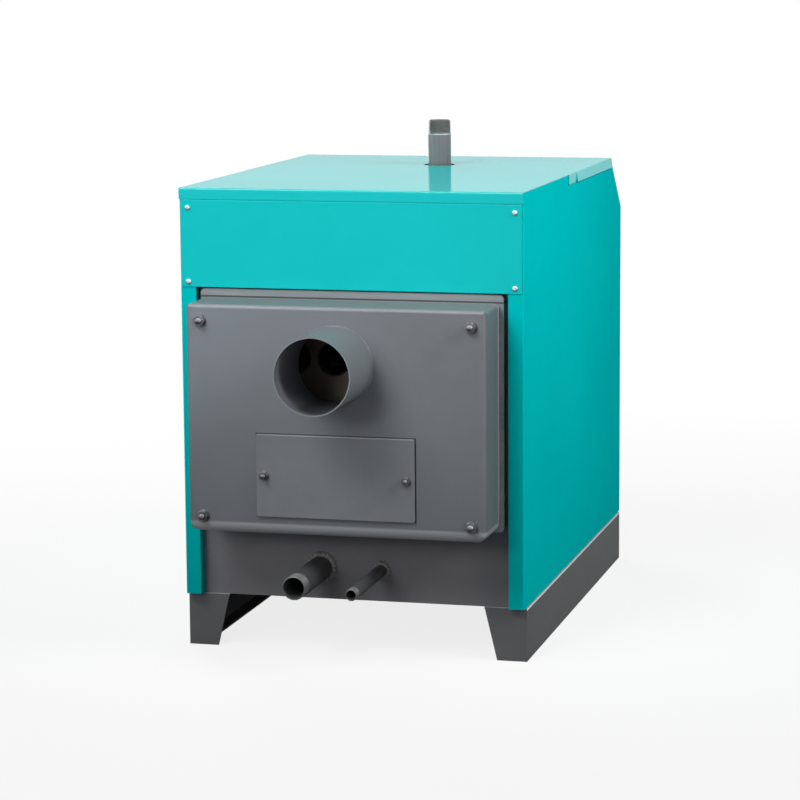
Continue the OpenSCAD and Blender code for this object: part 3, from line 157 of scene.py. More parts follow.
def math_node(mat, operation, a, b):
    node = add(mat, "ShaderNodeMath", operation=operation)
    for socket, value in zip(node.inputs, (a, b)):
        if isinstance(value, (int, float)):
            socket.default_value = value
        else:
            link(mat, value, socket)
    return node.outputs[0]


def bump(mat, height, strength, distance, normal=None):
    node = add(mat, "ShaderNodeBump")
    node.inputs["Strength"].default_value = strength
    node.inputs["Distance"].default_value = distance
    link(mat, height, node.inputs["Height"])
    if normal is not None:
        link(mat, normal, node.inputs["Normal"])
    return node.outputs["Normal"]


def soft_edge(mat, radius):
    node = add(mat, "ShaderNodeBevel", samples=4)
    if isinstance(radius, float):
        node.inputs["Radius"].default_value = radius
    else:
        link(mat, radius, node.inputs["Radius"])
    return node.outputs["Normal"]


def mix_colour(mat, fac, a, b):
    node = add(mat, "ShaderNodeMix", data_type="RGBA")
    link(mat, fac, node.inputs["Factor"])
    link(mat, a, node.inputs["A"])
    node.inputs["B"].default_value = b
    return node.outputs["Result"]


# Soft width of a sharp limit
CRISP = 0.0002


# Share of a surface past a limit: 0 before it and 1 past it, over a soft width
# to either side
def past(mat, value, limit, width):
    node = add(mat, "ShaderNodeMapRange")
    node.inputs["From Min"].default_value = limit - width
    node.inputs["From Max"].default_value = limit + width
    link(mat, value, node.inputs["Value"])
    return node.outputs["Result"]


# Measures besides X, Y and Z: W is the distance from the middle plane and R the
# distance from the flue's axis

def from_middle(mat, axes):
    return math_node(mat, "ABSOLUTE", axes["X"], 0.0)


def from_flue(mat, axes):
    height = math_node(mat, "SUBTRACT", axes["Z"], FLUE_Z)
    square = math_node(mat, "ADD", math_node(mat, "MULTIPLY", axes["X"], axes["X"]),
                       math_node(mat, "MULTIPLY", height, height))
    return math_node(mat, "SQRT", square, 0.0)


MEASURES = {"W": from_middle, "R": from_flue}


# Region of a surface inside all of its limits. Each limit is a measure, a low
# and a high value, of which one may be None, and a soft width. The result is a
# function that gives the share of a point that lies inside.
def region(*limits):
    def share(mat, axes):
        result = None
        for measure, low, high, width in limits:
            value = MEASURES[measure](mat, axes) if measure in MEASURES else axes[measure]
            if low is None:
                inside = math_node(mat, "SUBTRACT", 1.0, past(mat, value, high, width))
            else:
                inside = past(mat, value, low, width)
                if high is not None:
                    inside = math_node(mat, "SUBTRACT", inside, past(mat, value, high, width))
            result = inside if result is None else math_node(mat, "MULTIPLY", result, inside)
        return result

    return share


# Looks

# Paint: a slow change of tone, a fine grain, and edges that catch the light.
# Zones are pairs of a region and a colour for it; some of these colours are
# painted light or painted shade. Edge is the radius that softens edges, or a
# function that gives it. Gloss is the weight of a clear coat.
def paint(name, dark, light, rough=0.42, grain_scale=1800.0, grain=0.22, edge=0.0006,
          specular=0.5, stretch=(1, 1, 1), zones=(), gloss=0.0):
    cloud_scale, cloud_share = 3.2, 0.75
    mottle_scale = 38.0
    coat_rough, grain_height = 0.09, 0.0002
    mat = new_material(name)
    bsdf = principled(mat, specular=specular)
    vector = place(mat, stretch)
    clouds = noise_tex(mat, vector, cloud_scale, 4.0)
    mottle = noise_tex(mat, vector, mottle_scale, 3.0)
    tone = math_node(mat, "ADD", math_node(mat, "MULTIPLY", clouds, cloud_share),
                     math_node(mat, "MULTIPLY", mottle, 1.0 - cloud_share))
    colour = ramp(mat, tone, [(0.33, dark), (0.67, light)])
    axes = add(mat, "ShaderNodeSeparateXYZ")
    link(mat, place(mat), axes.inputs[0])
    for zone, zone_colour in zones:
        colour = mix_colour(mat, zone(mat, axes.outputs), colour, zone_colour)
    link(mat, colour, bsdf.inputs["Base Color"])
    link(mat, to_range(mat, mottle, rough - 0.04, rough + 0.05), bsdf.inputs["Roughness"])
    fine = noise_tex(mat, vector, grain_scale, 2.0)
    edge_normal = soft_edge(mat, edge(mat, axes.outputs) if callable(edge) else edge)
    link(mat, bump(mat, fine, grain, grain_height, edge_normal), bsdf.inputs["Normal"])
    bsdf.inputs["Coat Weight"].default_value = gloss
    bsdf.inputs["Coat Roughness"].default_value = coat_rough
    if gloss:
        link(mat, edge_normal, bsdf.inputs["Coat Normal"])
    return mat


# Metal: brushed or turned, with faint dull patches
def metal(name, dark, light, rough, stretch=(1, 1, 1), grain=0.15, edge=0.0003):
    patch_scale, brush_scale, brush_height = 60.0, 900.0, 0.0001
    mat = new_material(name)
    bsdf = principled(mat, metallic=1.0)
    vector = place(mat, stretch)
    patches = noise_tex(mat, place(mat), patch_scale, 4.0)
    brushed = noise_tex(mat, vector, brush_scale, 2.0)
    link(mat, ramp(mat, patches, [(0.35, dark), (0.65, light)]), bsdf.inputs["Base Color"])
    link(mat, to_range(mat, patches, rough - 0.06, rough + 0.1), bsdf.inputs["Roughness"])
    link(mat, bump(mat, brushed, grain, brush_height, soft_edge(mat, edge)),
         bsdf.inputs["Normal"])
    return mat


# Moulded plastic: a fine spark-eroded grain
def plastic(name, dark, light, rough, grain=0.12):
    patch_scale, grain_scale, grain_height, edge = 45.0, 2600.0, 0.0001, 0.0004
    mat = new_material(name)
    bsdf = principled(mat)
    vector = place(mat)
    patches = noise_tex(mat, vector, patch_scale, 3.0)
    fine = noise_tex(mat, vector, grain_scale, 2.0)
    link(mat, ramp(mat, patches, [(0.35, dark), (0.65, light)]), bsdf.inputs["Base Color"])
    link(mat, to_range(mat, fine, rough - 0.05, rough + 0.05), bsdf.inputs["Roughness"])
    link(mat, bump(mat, fine, grain, grain_height, soft_edge(mat, edge)),
         bsdf.inputs["Normal"])
    return mat


# Woven or felted fibre, such as gasket rope and mineral wool
def fibre(name, dark, light, scale, strength):
    fibre_height = 0.0015
    mat = new_material(name)
    bsdf = principled(mat, specular=0.2)
    vector = place(mat)
    strands = add(mat, "ShaderNodeTexWave", wave_type="BANDS", bands_direction="DIAGONAL")
    strands.inputs["Scale"].default_value = scale
    strands.inputs["Distortion"].default_value = 3.0
    strands.inputs["Detail"].default_value = 3.0
    link(mat, vector, strands.inputs["Vector"])
    fluff = noise_tex(mat, vector, scale * 3.0, 4.0)
    woven = math_node(mat, "MULTIPLY", strands.outputs["Fac"], fluff)
    link(mat, ramp(mat, woven, [(0.05, dark), (0.6, light)]), bsdf.inputs["Base Color"])
    bsdf.inputs["Roughness"].default_value = 0.95
    link(mat, bump(mat, woven, strength, fibre_height), bsdf.inputs["Normal"])
    return mat


def glass_material():
    mat = new_material("clear_glass")
    bsdf = principled(mat)
    bsdf.inputs["Base Color"].default_value = (0.93, 0.97, 0.97, 1.0)
    bsdf.inputs["Transmission Weight"].default_value = 1.0
    bsdf.inputs["IOR"].default_value = 1.45
    smudge = noise_tex(mat, place(mat), 130.0, 3.0)
    link(mat, to_range(mat, smudge, 0.01, 0.07), bsdf.inputs["Roughness"])
    return mat


# Radius that softens the cover's edges, larger at the deep bends below
def cover_edges(mat, axes):
    low_bend_r, high_bend_r, change_z = 0.0115, 0.0020, 0.290
    above = past(mat, axes["Z"], change_z, 0.020)
    return math_node(mat, "SUBTRACT", low_bend_r,
                     math_node(mat, "MULTIPLY", above, low_bend_r - high_bend_r))


# Inside of the flue spigot, darker with soot past its mouth, with a painted light
# on its inner wall towards +X, the side that the camera sees, standing for light
# that enters the mouth, and its bare cut end
SPIGOT_INSIDE = (("R", None, 0.0641, 0.0004), ("Y", None, 0.600, 0.012))
SOOTED = region(*SPIGOT_INSIDE)
FLUE_WALL_PAINTED_LIGHT = region(*SPIGOT_INSIDE, ("X", 0.045, None, 0.020))
CUT_END = region(("Y", 0.6122, None, 0.0001))
# Pale ash on the tube plate inside the smoke box
ASHES = region(("W", None, 0.250, CRISP), ("Z", 0.236, 0.612, CRISP), ("Y", 0.300, None, CRISP))
# Rear edge of a side panel, with painted shade that grows towards the floor
FLANGE_PAINTED_SHADE = region(("Z", None, 0.400, 0.300), ("Y", 0.3740, None, CRISP))
# Strip of the rear panel just under the lip, which a narrow shadow falls on,
# painted lighter: a painted light that softens that shadow
UNDER_LIP_PAINTED_LIGHT = region(("Z", 0.7783, 0.7813, CRISP), ("Y", 0.370, None, CRISP))
# Lips folded down around the top cover, a touch lighter than the top: a painted
# reflection of the bright surround
LIPS_PAINTED_REFLECTION = region(("Z", None, 0.7988, CRISP))
# Base rail: painted light on its front half, a painted highlight on its upper
# edge next to the side panel, and painted light on its top
RAIL_FRONT_PAINTED_LIGHT = region(("Y", None, -0.150, 0.350))
RAIL_EDGE_HIGHLIGHT = region(("W", 0.3007, None, 0.0001), ("Z", 0.0887, None, CRISP))
RAIL_TOP_PAINTED_LIGHT = region(("Z", 0.0917, None, 0.0001))
# Painted shade: a dark line in the joint between the frame and the smoke box cover
FRAME_JOINT_SHADE = region(("Z", 0.6135, 0.6170, CRISP))
# Cover, with light and shade painted on: a painted light on the upper corner away
# from the camera, painted shade on its lower half, on the wall that faces up and on
# the walls that face sideways, a painted highlight on its rear edge, a painted light
# from the floor on its low bend, and a painted shadow under the cleaning plate that
# shows round its edges
COVER_PAINTED_LIGHT_CORNER = region(("X", 0.100, None, 0.250), ("Z", 0.430, None, 0.170))
COVER_LOW_PAINTED_SHADE = region(("Z", None, 0.330, 0.100))
COVER_TOP_WALL_SHADE = region(("Z", 0.6136, None, 0.0006))
COVER_SIDE_WALL_SHADE = region(("W", 0.2566, None, 0.0008))
COVER_BACK_EDGE_HIGHLIGHT = region(("Y", None, 0.3880, 0.0010))
COVER_LOW_BEND_LIGHT = region(("Z", None, 0.2445, 0.0020))
CLEANING_PLATE_SHADOW = region(("W", None, 0.1387, CRISP), ("Z", 0.2560, 0.3992, CRISP))
# Upper edge of the cleaning plate, with a painted highlight
PLATE_EDGE_HIGHLIGHT = region(("Z", 0.3961, None, CRISP))
# Bright ring where the thread of the supply pipe runs out
THREAD_END = region(("Z", 0.8564, 0.8582, CRISP))

# Rear coat: the strip under the lip is a painted light against the lip's shadow
TEAL = paint("teal_powder_coat", srgb(14, 181, 183), srgb(17, 188, 190), rough=0.30,
             grain_scale=1500.0, grain=0.10, edge=0.0007, specular=0.12,
             zones=((UNDER_LIP_PAINTED_LIGHT, srgb(36, 218, 220)),))
# Side coat: its rear flange gets painted shade towards the floor
TEAL_SIDE = paint("teal_side_coat", srgb(0, 181, 183), srgb(2, 188, 190),
                  grain_scale=1500.0, grain=0.10, edge=0.0007, specular=0.0,
                  zones=((FLANGE_PAINTED_SHADE, srgb(0, 168, 170)),))
# Top coat: its lips carry a painted reflection, a touch lighter than the top
TEAL_TOP = paint("teal_gloss_coat", srgb(0, 178, 180), srgb(2, 185, 187), rough=0.3,
                 grain_scale=1500.0, grain=0.03, edge=0.0007, specular=0.0, gloss=0.62,
                 zones=((LIPS_PAINTED_REFLECTION, srgb(1, 185, 187)),))
# Cover paint: its zones are painted light, painted shade, painted highlights and a painted
# shadow
COVER_GREY = paint("cover_paint", srgb(104, 108, 113), srgb(115, 119, 124), rough=0.38,
                   edge=cover_edges,
                   zones=((COVER_PAINTED_LIGHT_CORNER, srgb(124, 131, 139)),
                          (COVER_LOW_PAINTED_SHADE, srgb(101, 105, 110)),
                          (COVER_TOP_WALL_SHADE, srgb(102, 108, 110)),
                          (COVER_SIDE_WALL_SHADE, srgb(96, 101, 105)),
                          (COVER_BACK_EDGE_HIGHLIGHT, srgb(128, 134, 136)),
                          (COVER_LOW_BEND_LIGHT, srgb(150, 153, 157)),
                          (CLEANING_PLATE_SHADOW, srgb(58, 60, 63))))
# Cleaning plate paint, with a painted highlight along its upper edge
PLATE_COVER = paint("cleaning_plate_paint", srgb(106, 110, 115), srgb(117, 121, 126),
                    edge=0.0004, specular=0.4,
                    zones=((PLATE_EDGE_HIGHLIGHT, srgb(158, 162, 166)),))
GREY = paint("grey_satin_paint", srgb(104, 108, 113), srgb(115, 119, 124), specular=0.3)
# Flue paint: soot inside, a painted light on the inner wall that the camera sees, and a bare
# cut end
FLUE_GREY = paint("flue_paint", srgb(99, 105, 109), srgb(110, 116, 120), edge=0.0003,
                  specular=0.3,
                  zones=((SOOTED, srgb(66, 68, 73)), (FLUE_WALL_PAINTED_LIGHT, srgb(164, 169, 181)),
                         (CUT_END, srgb(132, 136, 139))))
# Frame paint, with painted shade along its joint with the cover
FRAME_GREY = paint("frame_paint", srgb(112, 120, 123), srgb(140, 147, 150),
                   stretch=(0.3, 5, 5), zones=((FRAME_JOINT_SHADE, srgb(66, 70, 72)),))
PLATE_GREY = paint("tube_plate_paint", srgb(101, 101, 105), srgb(112, 112, 116), rough=0.5,
                   grain_scale=1500.0, grain=0.3, edge=0.0008,
                   zones=((ASHES, srgb(166, 154, 148)),))
# Rail paint, with painted light on the front half and top and a painted highlight on the upper
# edge
RAIL_GREY = paint("rail_paint", srgb(88, 89, 91), srgb(98, 99, 101), rough=0.5,
                  grain_scale=1500.0, grain=0.25, edge=0.0008,
                  zones=((RAIL_FRONT_PAINTED_LIGHT, srgb(107, 108, 109)), (RAIL_EDGE_HIGHLIGHT, srgb(250, 250, 250)),
                         (RAIL_TOP_PAINTED_LIGHT, srgb(190, 191, 191))))
BLACK_PAINT = paint("black_paint", srgb(40, 40, 41), srgb(50, 50, 51), grain_scale=1500.0,
                    grain=0.25)
MILL_STEEL = metal("mill_steel", srgb(70, 62, 58), srgb(105, 98, 92), 0.62,
                   stretch=(1, 0.1, 1), grain=0.3)
ZINC = metal("zinc_plate", srgb(190, 192, 196), srgb(222, 224, 228), 0.3, grain=0.1)
GALVANIZED = metal("galvanized_sheet", srgb(150, 153, 157), srgb(190, 193, 197), 0.42)
BRASS = metal("turned_brass", srgb(180, 140, 70), srgb(214, 175, 96), 0.3,
              stretch=(1, 1, 6), grain=0.1)
BLACK = plastic("black_plastic", srgb(26, 26, 27), srgb(34, 34, 35), 0.45)
PALE = plastic("pale_plastic", srgb(214, 213, 206), srgb(226, 225, 219), 0.42)
GREEN = plastic("green_plastic", srgb(14, 128, 58), srgb(26, 150, 72), 0.25, grain=0.04)
RED = plastic("red_plastic", srgb(176, 24, 18), srgb(198, 34, 24), 0.28, grain=0.05)
WOOL = fibre("mineral_wool", srgb(150, 132, 84), srgb(214, 198, 142), scale=120.0,
             strength=0.9)
ROPE = fibre("gasket_rope", srgb(120, 112, 98), srgb(190, 182, 166), scale=700.0,
             strength=0.8)
BOARD = paint("fired_board", srgb(205, 196, 178), srgb(224, 217, 202), rough=0.9,
              grain_scale=700.0, grain=0.5, edge=0.001)
GLASS = glass_material()
PIPE_GREY = paint("pipe_paint", srgb(86, 83, 86), srgb(132, 127, 130), rough=0.34,
                  grain_scale=1300.0, grain=0.35, edge=0.0003, specular=0.4,
                  stretch=(6, 6, 0.3), zones=((THREAD_END, srgb(172, 174, 176)),))
THREAD_GREY = paint("thread_steel", srgb(86, 86, 84), srgb(112, 112, 108), rough=0.34,
                    grain_scale=1300.0, grain=0.5, edge=0.0001)
DARK_PIPE = paint("dark_pipe_paint", srgb(60, 62, 64), srgb(78, 80, 82), rough=0.4,
                  grain_scale=1300.0, grain=0.35, edge=0.0003)
DARK_THREAD = paint("dark_thread_steel", srgb(84, 85, 86), srgb(108, 109, 109), rough=0.36,
                    grain_scale=1300.0, grain=0.5, edge=0.0001)
STUD_STEEL = metal("stud_steel", srgb(124, 127, 131), srgb(162, 165, 170), 0.5, edge=0.0002)
NUT_STEEL = metal("nut_steel", srgb(114, 117, 121), srgb(156, 159, 164), 0.36, edge=0.0002)
SCREW_STEEL = metal("screw_steel", srgb(224, 238, 238), srgb(246, 252, 252), 0.42, grain=0.1)
WELD = paint("painted_weld", srgb(82, 82, 82), srgb(130, 128, 125), grain_scale=900.0,
             grain=0.5, edge=0.0003)
DIAL_WHITE = plastic("dial_white", srgb(232, 231, 225), srgb(240, 239, 234), 0.5, grain=0.03)
PRINT_WHITE = plastic("print_white", srgb(226, 226, 222), srgb(238, 238, 235), 0.55,
                      grain=0.03)
INK = plastic("printed_ink", srgb(20, 20, 22), srgb(28, 28, 30), 0.55, grain=0.03)

LOOKS = {
    TEAL: ["rear_upper_panel", "front_panel", "fascia"],
    TEAL_SIDE: ["side_panel_left", "side_panel_right"],
    TEAL_TOP: ["top_cover"],
    FLUE_GREY: ["flue_spigot"],
    FRAME_GREY: ["smoke_box_frame"],
    COVER_GREY: ["smoke_box_cover"],
    PLATE_COVER: ["cleaning_plate"],
    NUT_STEEL: ["rear_washers", "rear_nuts"],
    STUD_STEEL: ["rear_studs"],
    GREY: ["supply_pipe", "return_pipe", "drain_pipe", "door_frame", "door_hinge_lugs",
           "furnace_door", "burner_flange", "sight_tube", "latch_bracket", "latch_keeper"],
    PLATE_GREY: ["rear_tube_plate", "front_tube_plate"],
    RAIL_GREY: ["base_rail_left", "base_rail_right"],
    BLACK_PAINT: ["latch_lever", "control_plate"],
    MILL_STEEL: ["body_wrapper", "furnace", "furnace_stays", "smoke_tubes", "turbulators"],
    ZINC: ["casing_screws", "hinge_pins", "burner_studs", "sight_flap", "thermometer"],
    GALVANIZED: ["control_box"],
    BRASS: ["sensor_pocket"],
    BLACK: ["latch_grip", "thermostat_knob", "switch_housings", "safety_thermostat",
            "cable_glands", "pump_rocker"],
    PALE: ["thermostat_body"],
    GREEN: ["power_rocker", "indicator_lamps"],
    RED: ["thermometer_pointer", "reset_button"],
    WOOL: ["insulation_jacket"],
    ROPE: ["smoke_box_gasket", "cleaning_gasket", "door_gasket"],
    BOARD: ["door_board"],
    GLASS: ["sight_glass", "thermometer_glass"],
}
for look, names in LOOKS.items():
    for name in names:
        for slot in nodes[name].material_slots:
            slot.material = look


# Pieces: turned and welded detail that stands for, or sits on, the CAD nodes

def finish_mesh(name, verts, faces, look, body, smooth=True):
    mesh = bpy.data.meshes.new(name)
    mesh.from_pydata(verts, [], faces)
    mesh.validate()
    if smooth:
        mesh.shade_smooth()
    piece = bpy.data.objects.new(name, mesh)
    piece.data.materials.append(look)
    bpy.context.scene.collection.objects.link(piece)
    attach(piece, body)
    return piece


# Frame at a point whose local Z runs along a direction
def frame_at(origin, direction):
    z = Vector(direction).normalized()
    x = UP.cross(z)
    if x.length < 0.01:
        x = Vector((1.0, 0.0, 0.0))
    x.normalize()
    y = z.cross(x)
    turn = Matrix((x, y, z)).transposed().to_4x4()
    return Matrix.Translation(Vector(origin)) @ turn


def on_circle(r, angle, z):
    return Vector((r * math.cos(angle), r * math.sin(angle), z))


# Surface of rings round the local Z axis; radius is a function of row, height
# and angle. A closed form ends in its last ring joining the first.
def turned(frame_matrix, heights, radius, sides, closed, cap_ends=False):
    verts, faces = [], []
    for row, height in enumerate(heights):
        for i in range(sides):
            angle = FULL_TURN * i / sides
            verts.append(frame_matrix @ on_circle(radius(row, height, angle), angle, height))
    rows = len(heights)
    for row in range(rows if closed else rows - 1):
        a, b = row * sides, ((row + 1) % rows) * sides
        for i in range(sides):
            j = (i + 1) % sides
            faces.append((a + i, a + j, b + j, b + i))
    if cap_ends:
        faces.append(tuple(range(sides))[::-1])
        faces.append(tuple(range((rows - 1) * sides, rows * sides)))
    return verts, faces


# Rings to each turn of a thread
STEPS_PER_TURN = 8


# Rounded 60 degree thread form, from 0 at the root to 1 at the crest
def thread_form(turns):
    steepness, root_flat = 1.35, 0.15
    share = turns % 1.0
    return min(1.0, max(0.0, steepness * (1.0 - abs(2.0 * share - 1.0)) - root_flat))


# Pipe sizes: outer radius, bore radius, crest radius and pitch of the thread
WATER_R, DRAIN_R = 0.0212, 0.01065
WATER_PIPE = (WATER_R, 0.018, 0.02095, 0.00231)
DRAIN_PIPE = (DRAIN_R, 0.00805, 0.01045, 0.00181)


# Pipe with a cut thread, a chamfered mouth and a bore, on the CAD's own axis
def pipe_piece(name, origin, direction, length, size, thread_l, look, thread_look):
    outer_r, bore_r, crest_r, pitch = size
    sides, plain_rows = 72, 3
    shoulder_l, smooth_l = 0.0006, 0.002
    chamfer_l, chamfer_cut = 0.0022, 0.0012
    mouth_l, mouth_cut = 0.0008, 0.0006
    taper, runout_turns, depth = 0.0003, 6.0, 0.64 * pitch

    steps = int(thread_l / pitch * STEPS_PER_TURN)
    start = length - thread_l
    heights = [0.0, length - thread_l - smooth_l, start - shoulder_l, start]
    heights += [start + thread_l * (i + 1) / steps for i in range(steps)]
    outer_rows = len(heights)
    heights += [length, length - mouth_l, 0.0]

    def radius(row, height, angle):
        if row >= outer_rows:
            return bore_r + (mouth_cut if row == outer_rows else 0.0)
        if height < start:
            return outer_r
        into = (height - start) / thread_l
        runout = min(1.0, into * runout_turns)
        chamfer = max(0.0, (height - (length - chamfer_l)) / chamfer_l) * chamfer_cut
        form = thread_form(height / pitch - angle / FULL_TURN)
        return crest_r - (depth * (1.0 - form) * runout + taper * into + chamfer)

    verts, faces = turned(frame_at(origin, direction), heights, radius, sides, closed=True)
    piece = finish_mesh(name, verts, faces, look, "boiler")
    piece.data.materials.append(thread_look)
    for polygon in piece.data.polygons:
        if plain_rows <= polygon.index // sides < outer_rows:
            polygon.material_index = 1
    return piece


# Lumpy weld bead laid round a pipe on its plate; the noise is read at a level of
# its own for each bead
def weld_piece(name, origin, direction, pipe_r, leg, ripples, noise_level, look):
    sides, arc = ripples * 8, 9
    sunk, below, lump_reach, lump_scale = 0.0003, 0.0001, 1.7, 2.1
    steady, rippled, lumpy, ripple_power = 0.80, 0.20, 0.16, 0.7
    spread, fullness = 1.15, 0.85

    def size_at(angle):
        ripple = abs(math.sin(angle * ripples / 2.0)) ** ripple_power
        lump = noise.noise(on_circle(lump_reach, angle, noise_level) * lump_scale)
        return leg * (steady + rippled * ripple + lumpy * lump)

    verts, faces = [], []
    matrix = frame_at(origin, direction)
    for i in range(sides):
        angle = FULL_TURN * i / sides
        size = size_at(angle)
        for k in range(arc):
            part = (math.pi / 2.0) * k / (arc - 1)
            out = size * (spread * math.cos(part) ** fullness if k < arc - 1 else 0.0)
            rise = size * math.sin(part)
            verts.append(matrix @ on_circle(pipe_r - sunk + out, angle, rise - below))
    for i in range(sides):
        j = (i + 1) % sides
        for k in range(arc - 1):
            faces.append((i * arc + k, j * arc + k, j * arc + k + 1, i * arc + k + 1))
    return finish_mesh(name, verts, faces, look, "boiler")


# Several threaded studs as one piece; each is (origin, direction, length, radius,
# pitch)
def studs_piece(name, studs, look, body, thread_l):
    sides, shoulder_l = 32, 0.0005
    chamfer_l, chamfer_cut, depth_share = 0.001, 0.0008, 0.6
    verts, faces = [], []
    for origin, direction, length, stud_r, pitch in studs:
        start = length - thread_l
        steps = int(thread_l / pitch * STEPS_PER_TURN)
        heights = [0.0, start - shoulder_l, start]
        heights += [start + thread_l * (i + 1) / steps for i in range(steps)]

        def radius(row, height, angle):
            if height < start:
                return stud_r
            form = thread_form(height / pitch - angle / FULL_TURN)
            runout = min(1.0, (height - start) / pitch)
            chamfer = max(0.0, (height - (length - chamfer_l)) / chamfer_l) * chamfer_cut
            return stud_r - depth_share * pitch * (1.0 - form) * runout - chamfer

        stud_verts, stud_faces = turned(frame_at(origin, direction), heights, radius, sides,
                                        closed=False, cap_ends=True)
        offset = len(verts)
        verts += stud_verts
        faces += [tuple(i + offset for i in face) for face in stud_faces]
    return finish_mesh(name, verts, faces, look, body)


# Pan head screws with a cross recess as one piece; each is (origin, direction, turn)
def screws_piece(name, screws, look, body):
    head_r, head_h, sphere_r = 0.00425, 0.00323, 0.0085
    rim_h, shank_l, shank_r = 0.0004, 0.008, 0.002
    recess_deep, recess_half_w, recess_wall = 0.0015, 0.00062, 0.00022
    recess_half_l, recess_end = 0.0023, 0.0008
    rings, sides = 22, 96
    verts, faces = [], []

    def height_at(x, y):
        dome = head_h - sphere_r + math.sqrt(sphere_r * sphere_r - (x * x + y * y))
        along, across = max(abs(x), abs(y)), min(abs(x), abs(y))
        inside = max(0.0, min(1.0, (recess_half_w - across) / recess_wall))
        reach = max(0.0, min(1.0, (recess_half_l - along) / recess_end))
        return dome - recess_deep * inside * reach

    for origin, direction, turn in screws:
        matrix = frame_at(origin, direction) @ Matrix.Rotation(turn, 4, "Z")
        offset = len(verts)

        def add_ring(r, level=None):
            for i in range(sides):
                angle = FULL_TURN * i / sides
                x, y = r * math.cos(angle), r * math.sin(angle)
                z = height_at(x, y) if level is None else level
                verts.append(matrix @ Vector((x, y, z)))

        verts.append(matrix @ Vector((0.0, 0.0, height_at(0.0, 0.0))))
        for k in range(1, rings + 1):
            add_ring(head_r * (k / rings))
        add_ring(head_r, rim_h)
        add_ring(head_r, 0.0)
        for i in range(sides):
            j = (i + 1) % sides
            faces.append((offset, offset + 1 + i, offset + 1 + j))
            for k in range(rings + 1):
                a = offset + 1 + k * sides
                b = a + sides
                faces.append((a + i, b + i, b + j, a + j))
        a = offset + 1 + (rings + 1) * sides
        ring = len(verts)
        add_ring(shank_r, 0.0)
        add_ring(shank_r, -shank_l)
        for i in range(sides):
            j = (i + 1) % sides
            faces.append((a + i, ring + i, ring + j, a + j))
            faces.append((ring + i, ring + sides + i, ring + sides + j, ring + j))
        faces.append(tuple(ring + sides + i for i in range(sides)))
    return finish_mesh(name, verts, faces, look, body)


WATER_THREAD_L, DRAIN_THREAD_L = 0.025, 0.018
PIPE_BASE, RETURN_L, DRAIN_L, SUPPLY_L = 0.027, 0.174, 0.204, 0.235
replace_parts(pipe_piece("supply_pipe_cut", at(SUPPLY_X, SUPPLY_DEPTH, SUPPLY_BASE_Z), UP,
                       SUPPLY_L, WATER_PIPE, WATER_THREAD_L, PIPE_GREY, THREAD_GREY),
            "supply_pipe")
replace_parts(pipe_piece("return_pipe_cut", at(RETURN_X, PIPE_BASE, PIPE_Z), REAR, RETURN_L,
                       WATER_PIPE, WATER_THREAD_L, DARK_PIPE, DARK_THREAD),
            "return_pipe")
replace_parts(pipe_piece("drain_pipe_cut", at(DRAIN_X, PIPE_BASE, PIPE_Z), REAR, DRAIN_L,
                       DRAIN_PIPE, DRAIN_THREAD_L, DARK_PIPE, DARK_THREAD),
            "drain_pipe")

SUPPLY_WELD_Z = 0.652
weld_piece("return_weld", at(RETURN_X, TUBE_PLATE_FACE, PIPE_Z), REAR, WATER_R,
           leg=0.0076, ripples=21, noise_level=3.0, look=WELD)
weld_piece("drain_weld", at(DRAIN_X, TUBE_PLATE_FACE, PIPE_Z), REAR, DRAIN_R,
           leg=0.0064, ripples=13, noise_level=7.0, look=WELD)
weld_piece("supply_weld", at(SUPPLY_X, SUPPLY_DEPTH, SUPPLY_WELD_Z), UP, WATER_R,
           leg=0.0060, ripples=21, noise_level=5.0, look=WELD)
weld_piece("flue_weld", at(0.0, -COVER_REACH, FLUE_Z), REAR, FLUE_R,
           leg=0.0019, ripples=64, noise_level=9.0, look=GREY)

# Studs: four of M10 for the cover, two of M8 for the cleaning plate, four of M8
# for the burner
M10_R, M10_PITCH = 0.005, 0.0015
M8_R, M8_PITCH = 0.004, 0.00125
COVER_STUD_X, COVER_STUD_Z, COVER_STUD_L = 0.233, 0.1665, 0.138
CLEAN_STUD_X, CLEAN_STUD_DEPTH, CLEAN_STUD_L = 0.123, -0.097, 0.0224
BURNER_PITCH_R, BURNER_STUD_DEPTH, BURNER_STUD_L = 0.075, 0.949, 0.038
REAR_STUD_THREAD_L, BURNER_STUD_THREAD_L = 0.0165, 0.024
rear_stud_list = []
for sx in (-1, 1):
    for sz in (-1, 1):
        rear_stud_list.append((at(sx * COVER_STUD_X, TUBE_PLATE_FACE,
                                  COVER_Z + sz * COVER_STUD_Z),
                               REAR, COVER_STUD_L, M10_R, M10_PITCH))
    rear_stud_list.append((at(sx * CLEAN_STUD_X, CLEAN_STUD_DEPTH, CLEAN_Z),
                           REAR, CLEAN_STUD_L, M8_R, M8_PITCH))
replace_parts(studs_piece("rear_studs_cut", rear_stud_list, STUD_STEEL, "boiler",
                        REAR_STUD_THREAD_L),
            "rear_studs")

burner_stud_list = []
for turn_share in (0.125, 0.375, 0.625, 0.875):
    angle = FULL_TURN * turn_share
    burner_stud_list.append((at(BURNER_PITCH_R * math.cos(angle), BURNER_STUD_DEPTH,
                                FURNACE_Z + BURNER_PITCH_R * math.sin(angle)),
                             FRONT, BURNER_STUD_L, M8_R, M8_PITCH))
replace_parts(studs_piece("burner_studs_cut", burner_stud_list, ZINC, "door",
                        BURNER_STUD_THREAD_L),
            "burner_studs")

